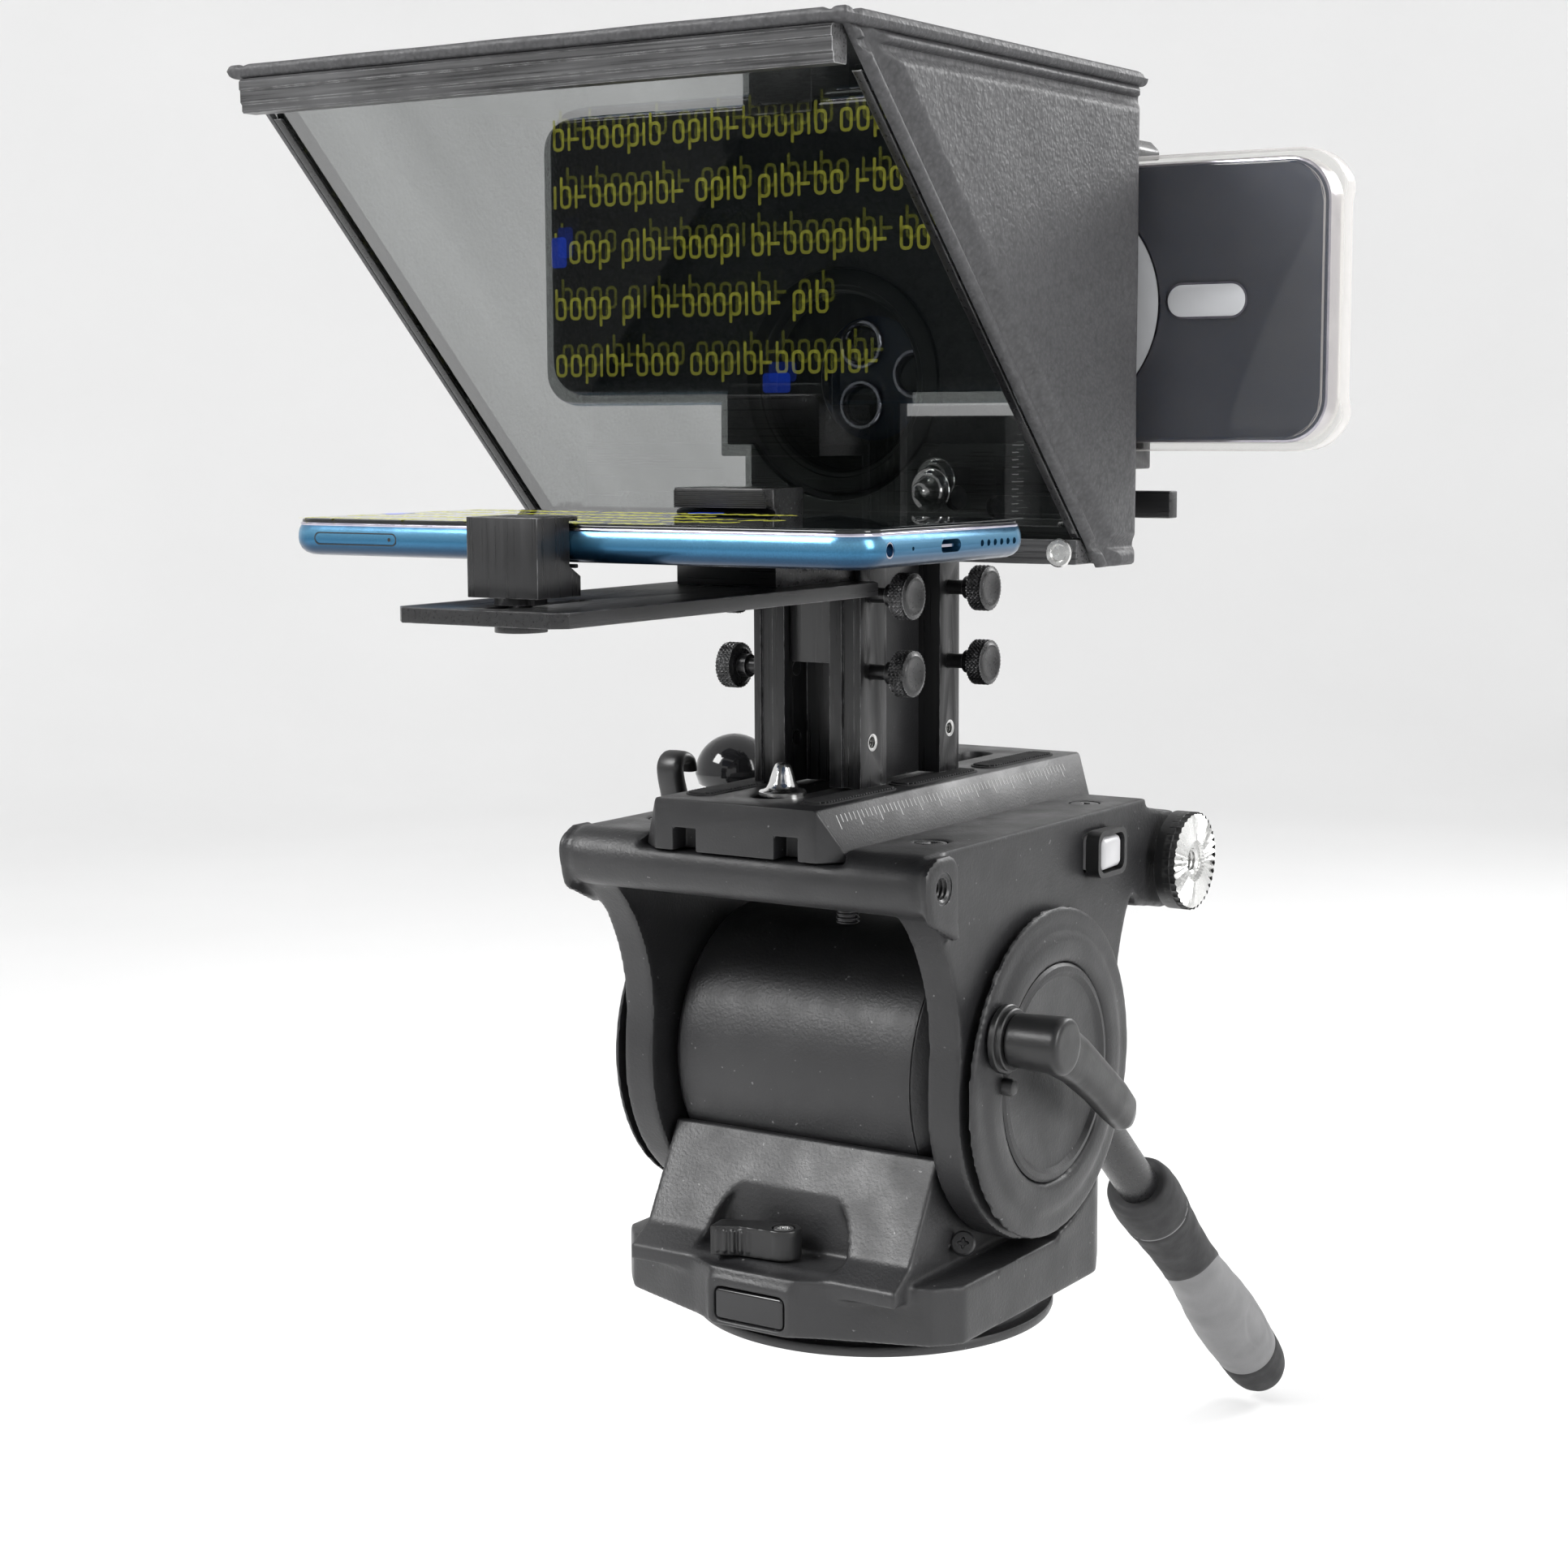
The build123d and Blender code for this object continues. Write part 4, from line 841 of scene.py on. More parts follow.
# ---- glass and its bars ----
GLASS_LOW, GLASS_HIGH = box_mm("beam_splitter")
low, high, half = GLASS_LOW.z, GLASS_HIGH.z - 1.415, GLASS_HIGH.x
front_sum = GLASS_LOW.y + high
bm = bmesh.new()
thick = 2 * sin(radians(45))
corners = [(-half, front_sum - low, low), (half, front_sum - low, low),
           (half, front_sum - high, high), (-half, front_sum - high, high)]
rows = [[bm.verts.new((x, y + t, z + t)) for x, y, z in corners] for t in (0, thick)]
bm.faces.new(rows[0]).material_index = 0
bm.faces.new(rows[1]).material_index = 1
for i in range(4):
    bm.faces.new((rows[0][i], rows[0][(i + 1) % 4], rows[1][(i + 1) % 4], rows[1][i])).material_index = 1
piece("splitter_pane", bm, "prompter", (MIRROR, GLASS_EDGE), ("beam_splitter",), 20)

BAR_LOW, BAR_HIGH = box_mm("glass_frame")
bm = bmesh.new()
y0, z0, z1 = BAR_LOW.y, 316.5, BAR_HIGH.z
# Top bar: a bright strip along its upper edge, a scratched face, and a lip that leans back.
profile = [(y0 + 0.9, z1 - 0.1), (y0 + 0.15, z1 - 0.8), (y0 + 0.15, z1 - 2.6), (y0 + 0.5, z1 - 2.9),
           (y0 + 0.5, z0 + 2.4),
           (y0 + 1.0, z0 + 1.9), (y0 + 1.0, z0 + 0.5), (y0 + 1.4, z0), (y0 + 5.6, z0), (y0 + 6, z0 + 0.4),
           (y0 + 6, z1 - 0.1)]
loops = [[Vector((x, y, z)) for y, z in profile] for x in (-half, -half + 0.3, half - 0.3, half)]
skin(bm, loops)
bmesh.ops.recalc_face_normals(bm, faces=bm.faces)
for f in bm.faces:
    middle = f.calc_center_median()
    if middle.z > z1 - 2.7 and middle.y < y0 + 1.0 and abs(f.normal.x) < 0.5:
        f.material_index = 1
    if middle.z < z0 + 2.0 and middle.y < y0 + 1.3 and abs(f.normal.x) < 0.5:
        f.material_index = 2
BAR_BRIGHT = metal("bar_worn", (0.24, 0.24, 0.24), (0.62, 0.62, 0.62), (0.25, 0.5), (30, 1600, 1600))
BAR_GREY = anodised("bar_lip", "X", (0.05, 0.05, 0.052), (0.14, 0.14, 0.142), (0.25, 0.45), 1.0)
piece("glass_bar_top", bm, "prompter", (BAR_SCRATCHED, BAR_BRIGHT, BAR_GREY),
      ("glass_frame",))
bm = bmesh.new()
slab(bm, [(-41, 209), (-32.7, 209), (-38.7, 215), (-41, 215)], -half, half, on_x, 0.35)
piece("glass_bar_low", bm, "prompter", BAR_SCRATCHED)
for side, label in ((1, "right"), (-1, "left")):
    bm = bmesh.new()
    a, b = sorted((side * half, side * (half - 2.2)))
    rail = [(front_sum - 1.5 - 215.5, 215.5), (front_sum - 1.5 - 316, 316), (front_sum - 0.1 - 316, 316),
            (front_sum - 0.1 - 215.5, 215.5)]
    slab(bm, rail, a, b, on_x, 0.25)
    piece(f"glass_rail_{label}", bm, "prompter", ANODISED_Y)
bm = bmesh.new()
for x in (-78, 78):
    lathe(bm, [(0, 3.3), (0.3, 3.5), (0.9, 3.5), (1.2, 3.2), (1.2, 2.2), (0.7, 1.9), (0.7, 0.05)],
          (x, -40.95, 211.85), (0, -1, 0.0), 32)
piece("glass_bar_screws", bm, "prompter", STEEL)

# ---- bracket behind the glass ----
refined("hood_bracket", ANODISED_X, 0.4)

# ================= display phone, tray and jaws =================

PHONE_LOW, PHONE_HIGH = box_mm("display_phone")
TOP_Z = box_mm("display_screen")[1].z
CORNER = 9.0


def phone_outline(shrink):
    return rectangle(PHONE_LOW.x + shrink, PHONE_HIGH.x - shrink, PHONE_LOW.y + shrink, PHONE_HIGH.y - shrink,
                     CORNER - shrink, 8)


def layered(bm, outline_at, levels, place=on_z):
    """A closed body from outlines inset by level: (level, inset) pairs."""
    skin(bm, [[place(u, v, w) for u, v in outline_at(shrink)] for w, shrink in levels])


bm = bmesh.new()
z0 = PHONE_LOW.z
layered(bm, phone_outline, [(z0, 4.6), (z0 + 0.15, 3.2), (z0 + 0.7, 1.8), (z0 + 1.6, 0.8), (z0 + 2.8, 0.2),
                            (z0 + 4.0, 0.0), (z0 + 5.2, 0.05), (z0 + 6.3, 0.3), (z0 + 7.1, 0.7),
                            (z0 + 7.35, 0.9),
                            (z0 + 7.4, 3.0)])
# The phone's blue sides carry painted shade low down and a painted highlight near the top.
PHONE_BLUE_PAINTED_LIGHT = phone_side_painted_light("phone_blue_painted_shade_and_highlight", z0 * MM, (z0 + 7.2) * MM)
shell_piece = piece("phone_shell", bm, "prompter", (PHONE_BLUE_PAINTED_LIGHT, SEAM_AND_PAINTED_SHADE),
                    ("display_phone",), 50)
cut = bmesh.new()
end = PHONE_HIGH.x
for y, z, r in [(-136.0, z0 + 4.1, 1.75), (-126.5, z0 + 4.1, 0.45)] + [(-96.0 + 3.0 * k, z0 + 4.1, 0.75)
                                                                     for k in range(6)]:
    lathe(cut, [(0, r), (4, r)], (end - 2.5, y, z), (1, 0, 0), 20)
slab(cut, pill(-110.0, z0 + 4.1, 8.6, 2.9), end - 4.5, end + 1, on_x, 0.0, 1)
carve(shell_piece, cut)

bm = bmesh.new()
for y, r in ((-136.0, 1.75),):
    hoop(bm, circle(y, z0 + 4.1, r + 0.05, 24), circle(y, z0 + 4.1, r - 0.3, 24), end - 1.6, end - 0.2, on_x)
slab(bm, pill(-110.0, z0 + 4.1, 6.2, 0.8), end - 4.4, end - 1.2, on_x, 0.1, 1)
piece("phone_ports", bm, "prompter", RIM)
bm = bmesh.new()
front = PHONE_LOW.y
hoop(bm, pill(-54.0, z0 + 4.2, 25.6, 3.0), pill(-54.0, z0 + 4.2, 25.0, 2.5), front - 0.01, front + 0.6, on_y)
# Painted shade: a dark disc stands in for the pinhole, with no hole cut.
lathe(bm, [(0, 0.45), (0.6, 0.45)], (-43.4, front - 0.02, z0 + 4.2), (0, 1, 0), 16)
piece("phone_drawer_gap", bm, "prompter", SEAM_AND_PAINTED_SHADE)

bm = bmesh.new()
layered(bm, phone_outline, [(z0 + 7.2, 0.75), (z0 + 7.4, 0.62), (z0 + 7.75, 0.7), (z0 + 7.95, 1.0),
                            (z0 + 7.95, 2.5), (z0 + 7.2, 2.5)])
piece("phone_rim", bm, "prompter", RIM, (), 50)
bm = bmesh.new()
layered(bm, phone_outline, [(z0 + 7.5, 1.2), (TOP_Z - 0.65, 1.0), (TOP_Z - 0.35, 1.15), (TOP_Z - 0.12, 1.55),
                            (TOP_Z - 0.02, 2.2), (TOP_Z, 3.2)])
piece("phone_glass", bm, "prompter", SCREEN, ("display_screen",), 60)


def placeholder_line(bm, x, y, words, z):
    """A row of plain hollow boxes and bars that stands for a line of text."""
    stroke, advance, tall = 0.85, 4.9, 6.0
    for n, length in enumerate(words):
        for k in range(length):
            kind = (3 * n + 5 * k + length) % 7
            top = y - tall / 2 - (2.3 if kind in (1, 4) else 0.0)
            low = y + tall / 2 + (1.8 if kind == 5 else 0.0)
            width = 3.7 if kind != 3 else stroke
            if x + width > PHONE_HIGH.x - 5:
                return
            if kind in (3, 6):
                slab(bm, rectangle(x, x + stroke, top, low, 0.3, 2), z, z + 0.03, on_z, 0.0, 1)
                if kind == 6:
                    slab(bm, rectangle(x + stroke, x + width, y - 0.4, y + 0.45, 0.2, 2), z, z + 0.03, on_z,
                         0, 1)
            else:
                hoop(bm, rectangle(x, x + width, y - tall / 2, y + tall / 2, 1.5, 4),
                     rectangle(x + stroke, x + width - stroke, y - tall / 2 + stroke, y + tall / 2 - stroke,
                               0.7, 4),
                     z, z + 0.03, on_z)
                if top < y - tall / 2:
                    slab(bm, rectangle(x, x + stroke, top, y, 0.3, 2), z, z + 0.03, on_z, 0.0, 1)
                if low > y + tall / 2:
                    slab(bm, rectangle(x, x + stroke, y, low, 0.3, 2), z, z + 0.03, on_z, 0.0, 1)
            x += advance if kind != 3 else 2.1
        x += 2.6


bm = bmesh.new()
for y, words in ((-141.0, (8, 11, 3)), (-126.0, (10, 4, 6, 4)), (-111.5, (4, 9, 9, 2)), (-96.7, (4, 2, 9, 3)),
                 (-81.7, (9, 13))):
    placeholder_line(bm, -72.5, y, words, TOP_Z - 0.005)
piece("prompt_marks", bm, "prompter", TEXT_LIT, (), 30)
bm = bmesh.new()
slab(bm, rectangle(-73.5, -68.5, -115.6, -107.6, 1.0), TOP_Z + 0.0, TOP_Z + 0.05, on_z, 0.0, 1)
slab(bm, rectangle(-6.0, 2.4, -79.0, -74.0, 1.0), TOP_Z + 0.0, TOP_Z + 0.05, on_z, 0.0, 1)
piece("prompt_tabs", bm, "prompter", TAB_LIT, (), 30)

# ---- tray, jaws ----
refined("tray_plate", ANODISED_Y, 0.4)
refined("front_jaw", ANODISED_Z, 0.4)
refined("rear_jaw", ANODISED_X, 0.4)
JAW_LOW, JAW_HIGH = box_mm("rear_jaw")
bm = bmesh.new()
face_y, low, high = JAW_LOW.y, TOP_Z + 1.2, JAW_HIGH.z - 0.5
count = 9
profile = [(face_y + 0.5, low)]
for k in range(count):
    z = low + (high - low) * (k + 0.15) / count
    step = (high - low) / count
    profile += [(face_y - 0.15, z), (face_y - 0.15, z + 0.45 * step), (face_y + 0.3, z + 0.6 * step)]
profile += [(face_y + 0.5, high)]
loops = [[Vector((x, y, z)) for y, z in profile] for x in (-13.6, -13.3, 13.3, 13.6)]
skin(bm, loops)
piece("jaw_rubber", bm, "prompter", RUBBER)
FRONT_LOW, FRONT_HIGH = box_mm("front_jaw")
bm = bmesh.new()
for z in (TOP_Z + 0.5, PHONE_LOW.z - 1.2):
    slab(bm, rectangle(FRONT_LOW.x + 0.6, FRONT_HIGH.x - 0.6, z, z + 0.9, 0.3), FRONT_HIGH.y - 0.9,
         FRONT_HIGH.y + 0.05, on_y, 0.2, 1)
piece("front_jaw_rubber", bm, "front_jaw", RUBBER)

# ================= columns, thumb screws and slide plate =================

for node in ("front_column", "rear_column", "front_post"):
    refined(node, ANODISED_Z, 0.35)
refined("column_web", COAT_PLATE, 0.3)
refined("rear_post", ANODISED_X, 0.35)
refined("slide_plate", COAT_PLATE, 0.55)

COLUMN_X = box_mm("front_column")[1].x
bm = bmesh.new()
for y in (-27.5, 13.0):
    for side in (1, -1):
        x = side * COLUMN_X
        thread(bm, (x + side * 0.05, y, 160.5), (-side, 0, 0), 1.95, 6, 0.35, 0.7)
piece("spare_threads", bm, "plate", STEEL)


def knurl(turns, slope, depth):
    """Diamond knurling for a lathe's sides."""
    def ripple(angle, distance, radius):
        if radius < 5.3:
            return 0.0
        a, b = abs(sin(turns * angle / 2 + slope * distance)), abs(sin(turns * angle / 2 - slope * distance))
        return -depth * (1 - min(a, b))
    return ripple


for node in [n for n in NODES if n.startswith("thumb_screw_")]:
    low, high = box_mm(node)
    side = -1 if node.endswith("left") else 1
    y, z, r = (low.y + high.y) / 2, (low.z + high.z) / 2, (high.y - low.y) / 2
    outer = max(abs(low.x), abs(high.x))
    head = 5.2
    start = -head
    profile = [(start + 0.0, 2.0), (start + 0.02, 4.6), (start + 0.35, 5.2)]
    profile += [(start + 0.5 + 0.3 * k, r) for k in range(13)]
    profile += [(-0.45, r - 0.05), (-0.25, 5.15), (-0.02, 4.75), (0.0, 3.8), (-0.1, 3.6), (-0.1, 0.05)]
    profile = [(min(abs(low.x), abs(high.x)) - outer, 2.0), (start - 2.6, 2.0), (start - 2.5, 3.1),
               (start - 0.05, 3.1)] + profile
    bm = bmesh.new()
    lathe(bm, profile, (side * outer, y, z), (side, 0, 0), 128, knurl(38, 2.6, 0.42))
    piece(f"{node}_knurled", bm, node, ANODISED_X, (node,), 28)

PLATE_LOW, PLATE_HIGH = box_mm("slide_plate")
WIDE, NARROW, PLATE_TOP = PLATE_HIGH.x, 24.5, PLATE_HIGH.z
lean = (WIDE - NARROW) / (PLATE_TOP - PLATE_LOW.z)
bm = bmesh.new()
for side in (1, -1):
    for k in range(62):
        y = PLATE_LOW.y + 8 + 2 * k
        long = 3.4 if k % 5 == 0 else 1.9
        z1, z0 = PLATE_TOP - 2.0, PLATE_TOP - 2.0 - long
        corners = [(NARROW + (PLATE_TOP - z) * lean, z) for z in (z0, z1)]
        a = [bm.verts.new((side * (x + 0.05), y + t, z)) for x, z in corners for t in (-0.14, 0.14)]
        b = [bm.verts.new((side * (x - 0.3), y + t, z)) for x, z in corners for t in (-0.14, 0.14)]
        for i, j, m, n in ((0, 1, 3, 2),):
            bm.faces.new((a[i], a[j], a[m], a[n]))
            bm.faces.new((b[i], b[n], b[m], b[j]))
            loop = (i, j, m, n)
            for p in range(4):
                q = (p + 1) % 4
                bm.faces.new((a[loop[p]], b[loop[p]], b[loop[q]], a[loop[q]]))
piece("plate_scale", bm, "plate", TICK, (), 30)

PAD_LOW, PAD_HIGH = box_mm("plate_pads")
pad_w, pad_l = 8.6, 39.0
bm = bmesh.new()
for x in (PAD_HIGH.x - pad_w / 2, PAD_LOW.x + pad_w / 2):
    for y in (-41.0, 2.5, 47.0):
        hoop(bm, pill(x, y, pad_l, pad_w, True), pill(x, y, pad_l - 1.4, pad_w - 1.4, True), PLATE_TOP - 0.3,
             PLATE_TOP + 0.35, on_z)
        slab(bm, pill(x, y, pad_l - 1.2, pad_w - 1.2, True), PLATE_TOP - 0.4, PLATE_TOP + 0.12, on_z, 0.1, 1)
        ribs = int((pad_l - 2) / 1.3)
        for k in range(ribs):
            at = y - pad_l / 2 + 1.4 + 1.3 * k
            bend = max(0.0, abs(at + 0.35 - y) - (pad_l - pad_w) / 2)
            if bend >= pad_w / 2 - 0.9:
                continue
            half = sqrt((pad_w / 2 - 0.7) ** 2 - bend ** 2)
            slab(bm, rectangle(x - half, x + half, at, at + 0.7, 0.2, 2), PLATE_TOP, PAD_HIGH.z, on_z, 0.2, 2)
piece("plate_pads_ribbed", bm, "plate", RUBBER, ("plate_pads",), 30)

PIN_LOW, PIN_HIGH = box_mm("locating_pin")
px, py = (PIN_LOW.x + PIN_HIGH.x) / 2, (PIN_LOW.y + PIN_HIGH.y) / 2
bm = bmesh.new()
lathe(bm, [(0, 6.2), (1.0, 6.2), (1.35, 5.9), (1.6, 5.0), (1.9, 4.3), (2.6, 3.9), (3.4, 3.55), (5.4, 2.95),
           (7.2, 2.3),
           (8.0, 1.9), (8.45, 1.3), (8.6, 0.05)], (px, py, PLATE_TOP), (0, 0, 1), 64)
piece("locating_pin_turned", bm, "plate", CHROME, ("locating_pin",), 40)
refined("camera_screw", STEEL, 0.3)

# ================= fluid head =================

R = box_mm("base_ring")[1].x
bore = [(0.0, 4.7), (0.6, 3.97)]
for k in range(8):
    bore += [(1.0 + 1.59 * k, 3.97), (1.5 + 1.59 * k, 3.5), (1.8 + 1.59 * k, 3.5), (2.3 + 1.59 * k, 3.97)]
outside = [(0.0, R - 1.2), (0.35, R - 0.35), (1.2, R), (2.5, R), (2.9, R - 0.3), (3.0, R - 1.2),
           (3.15, R - 2.6),
           (3.5, R - 3.0), (6.8, R - 3.0), (7.4, R - 3.2), (8.0, R - 3.9), (8.0, 20.0), (17.0, 20.0),
           (17.0, 0.05)]
profile = [(14.0, 0.05), (14.0, 3.97)] + bore[::-1] + outside
bm = bmesh.new()
lathe(bm, profile, (0, 0, 0), (0, 0, 1), 128)
piece("base_turned", bm, "base", COAT, ("base_ring",), 40)

TILT_Z = (box_mm("drag_drum")[0].z + box_mm("drag_drum")[1].z) / 2
DRUM_LOW, DRUM_HIGH = box_mm("drag_drum")
DRUM_R = (DRUM_HIGH.z - DRUM_LOW.z) / 2
x0, x1 = DRUM_LOW.x, DRUM_HIGH.x
bm = bmesh.new()
profile = [(x0, DRUM_R - 2.4), (x0 + 0.3, DRUM_R - 1.9), (x0 + 1.7, DRUM_R - 0.5), (x0 + 2.3, DRUM_R - 0.12),
           (x0 + 3.2, DRUM_R)]
profile += [(x0 + 3.2 + (x1 - 7.8 - x0 - 3.2) * k / 24, DRUM_R) for k in range(1, 24)]
profile += [(x1 - 8.0, DRUM_R), (x1 - 7.7, DRUM_R - 0.08), (x1 - 7.6, DRUM_R - 0.5),
            (x1 - 7.35, DRUM_R - 0.5),
            (x1 - 7.2, DRUM_R - 0.25), (x1 - 6.9, DRUM_R - 0.4), (x1 - 1.2, DRUM_R - 5.6),
            (x1 - 0.3, DRUM_R - 6.6),
            (x1, DRUM_R - 7.4)]
profile = [(x0, 8.2)] + profile + [(x1, 8.2)]
lathe(bm, profile, (0, 0, TILT_Z), (1, 0, 0), 192)
piece("drum_turned", bm, "pan", COAT, ("drag_drum",), 24)

NOSE_Y = box_mm("pan_housing")[0].y


def housing_details(bm):
    """The raised frame round the level window."""
    outer = rectangle(-13.4, 13.4, 8.9, 21.4, 2.4)
    inner = rectangle(-10.8, 10.8, 10.2, 18.8, 1.2)
    hoop(bm, outer, inner, NOSE_Y - 1.0, NOSE_Y + 2.0, on_y)


cast("pan_casting", ["pan_housing"], COAT, 0.75, 7, housing_details)
bm = bmesh.new()
slab(bm, rectangle(-10.6, 10.6, 10.4, 18.6, 1.2), NOSE_Y - 0.75, NOSE_Y + 2, on_y, 0.7, 4)
piece("level_window_glass", bm, "pan", GLOSS, ("level_window",))
NODES["pan_bearing"].data.materials.clear()
NODES["pan_bearing"].data.materials.append(STEEL)
NODES["tilt_axle"].data.materials.clear()
NODES["tilt_axle"].data.materials.append(STEEL)

# ---- pan lock ----
LOCK_LOW, LOCK_HIGH = box_mm("pan_lock_lever")
SCREW_LOW, SCREW_HIGH = box_mm("pan_lock_screw")
sx, sy = (SCREW_LOW.x + SCREW_HIGH.x) / 2, (SCREW_LOW.y + SCREW_HIGH.y) / 2
z0, z1 = LOCK_LOW.z, LOCK_HIGH.z


def lock_lever(bm):
    lathe(bm, [(0, 4.2), (0.4, 4.7), (6.9, 4.7), (7.6, 4.3), (8.0, 3.7), (8.0, 0.05)], (sx, sy, z0),
          (0, 0, 1), 48)
    blade = rounded([(2.5, -55.4), (-7.0, -56.6), (-13.6, -60.0), (-15.0, -56.5), (-13.0, -53.0),
                     (-7.5, -49.7),
                     (2.5, -46.9)], [1, 3, 2.5, 2.5, 3, 3, 1])
    slab(bm, blade, z0 + 0.4, z1 - 0.6, on_z, 1.2, 3)
    for k in range(5):
        x = -12.4 + 2.0 * k
        slab(bm, rectangle(x - 0.55, x + 0.55, z0 + 1.0, z1 - 1.0, 0.3, 2), -59.6 + 0.75 * k,
             -50.4 + 0.2 * k, on_y, 0.4)


lever = cast("pan_lock_grip", ["pan_lock_lever"], PLASTIC, 0.32, 3, lock_lever)
cut = bmesh.new()
lathe(cut, [(0, 3.25), (4, 3.25)], (sx, sy, z1 - 1.6), (0, 0, 1), 40)
carve(lever, cut)
bm = bmesh.new()
lathe(bm, [(0, 3.0), (1.3, 3.0), (1.7, 2.6), (1.75, 1.5), (0.6, 1.3), (0.6, 0.05)], (sx, sy, z1 - 1.9),
      (0, 0, 1), 6 * 8,
      lambda angle, d, r: 0.0 if r > 1.6 or r < 1 else 0.22 * cos(6 * angle))
piece("pan_lock_screw_turned", bm, "pan", CHROME, ("pan_lock_screw",))

# ---- arms and saddle in one casting ----
ARM_X = box_mm("cradle_arms")[1].x
SADDLE_TOP = box_mm("cradle_saddle")[1].z
ROLL_Z, ROLL_Y = 130.0, -60.0


def casting_details(bm):
    for side in (1, -1):
        a, b = sorted((side * (ARM_X - 2.0), side * (ARM_X + 0.15)))
        # A shield-shaped boss round the accessory thread.
        boss = rounded([(-69.0, 134.0), (-66.0, 121.5), (-50.5, 114.5), (-51.5, 122.0), (-51.4, 136.5),
                        (-60.0, 139.6)],
                       [5, 4, 1.5, 4, 6, 5])
        slab(bm, [(y, min(z, 137.8)) for y, z in boss], a, b, on_x, 0.5, 2)
        # The raised ring of the arm's disc.
        lathe(bm, [(0, 44.6), (1.2, 44.2), (1.5, 43.4), (1.5, 38.4), (2.3, 36.9), (2.6, 36.2), (2.6, 31.2),
                   (2.2, 30.6),
                   (2.2, 29.5), (0, 29.5)], (side * (ARM_X - 1.6), 0, TILT_Z), (side, 0, 0), 160)


casting = cast("cradle_casting", ["cradle_arms", "cradle_saddle"], COAT, 0.9, 6, casting_details)
cut = bmesh.new()
SEAM = [(-52.5, 113.6), (-46.5, 117.4), (-38.0, 122.8), (-26.0, 128.0), (-10.0, 131.6), (8.0, 133.6),
        (24.0, 134.8),
        (44.0, 136.2), (58.0, 136.9)]
for side in (1, -1):
    tube(cut, spline([(side * (ARM_X + 0.1), y, z) for y, z in SEAM], 60), 0.42, 8)
    for y, z, r, depth in ((ROLL_Y, ROLL_Z, 4.1, 12), (75, 119, 3.9, 9.4)):
        lathe(cut, [(0, r), (depth, r)], (side * (ARM_X + 0.6), y, z), (-side, 0, 0), 40)
for x in (-41.5, 41.5):
    for y in (-40, 45):
        lathe(cut, [(0, 4.5), (1.7, 4.3)], (x, y, SADDLE_TOP + 0.1), (0, 0, -1), 40)
carve(casting, cut)

bm = bmesh.new()
for side in (1, -1):
    thread(bm, (side * (ARM_X - 0.1), ROLL_Y, ROLL_Z), (-side, 0, 0), 3.2, 11, 0.85)
piece("accessory_sleeves", bm, "tilt", ANODISED_X)
refined("saddle_screws", ANODISED_Z, 0.25)

bm = bmesh.new()
for side in (1, -1):
    lathe(bm, [(0.0, 29.2), (0.9, 29.2), (1.5, 28.4), (1.7, 27.0), (0.7, 25.6), (0.55, 24.8), (0.55, 12.0),
               (0.62, 0.05)],
          (side * (ARM_X - 0.9), 0, TILT_Z), (side, 0, 0), 128)
piece("arm_discs", bm, "tilt", COAT, ("arm_caps",), 24)

# Small fittings: a plug in each arm's front edge, a screw low down on the right, a stud under the saddle.
bm = bmesh.new()
for side in (1, -1):
    lathe(bm, [(-1.0, 1.6), (0.25, 1.6), (0.45, 1.3), (0.5, 0.05)], (side * 47.4, -41.35, 91.0),
          (0, -0.92, 0.39), 24)
piece("arm_plugs", bm, "tilt", PLASTIC)
bm = bmesh.new()
cross = lambda angle, d, r: 0.0 if r > 1.5 or r < 0.5 else 0.35 * cos(4 * angle)
lathe(bm, [(-4, 2.2), (-1.2, 2.2), (-1.1, 3.3), (0.1, 3.3), (0.5, 2.8), (0.55, 1.3), (-0.4, 0.9),
           (-0.4, 0.05)],
      (44.6, -28.4, 30.6), (0.35, -0.8, 0.45), 48, cross)
piece("housing_screw", bm, "pan", COAT_PLATE)
bm = bmesh.new()
stud = [(0, 3.0)]
for k in range(5):
    stud += [(-0.3 - 1.1 * k, 3.0), (-0.7 - 1.1 * k, 2.6), (-0.95 - 1.1 * k, 2.6), (-1.3 - 1.1 * k, 3.0)]
stud += [(-6.0, 2.6), (-6.1, 0.05)]
lathe(bm, stud, (24.0, -52.0, 123.4), (0, 0, 1), 40)
piece("saddle_stud", bm, "tilt", ANODISED_Z)

# ---- safety button in its frame ----
BUTTON_LOW, BUTTON_HIGH = box_mm("safety_button")
by, bz = (BUTTON_LOW.y + BUTTON_HIGH.y) / 2, (BUTTON_LOW.z + BUTTON_HIGH.z) / 2
bm = bmesh.new()
outline = rectangle(by - 6.7, by + 6.7, bz - 4.7, bz + 4.7, 2.2)
loops = []
for d, shrink, push in ((0, 0, 0), (3.6, 0, 0), (6.8, 0.2, 0.0), (7.8, 0.7, 0), (8.4, 1.7, 0)):
    loops.append([(BUTTON_LOW.x + d - (0.9 * (y - by + 6) / 12 if d > 6 else 0), y, z)
                  for y, z in inset(outline, shrink)])
skin(bm, loops)
piece("safety_button_cap", bm, "safety_button", BUTTON, ("safety_button",), 40)
bm = bmesh.new()
hoop(bm, rectangle(by - 8.6, by + 8.6, bz - 6.4, bz + 6.4, 3.2),
     rectangle(by - 7.1, by + 7.1, bz - 5.1, bz + 5.1, 2.5),
     ARM_X - 3.0, ARM_X + 0.9, on_x)
piece("safety_button_frame", bm, "tilt", PLASTIC)

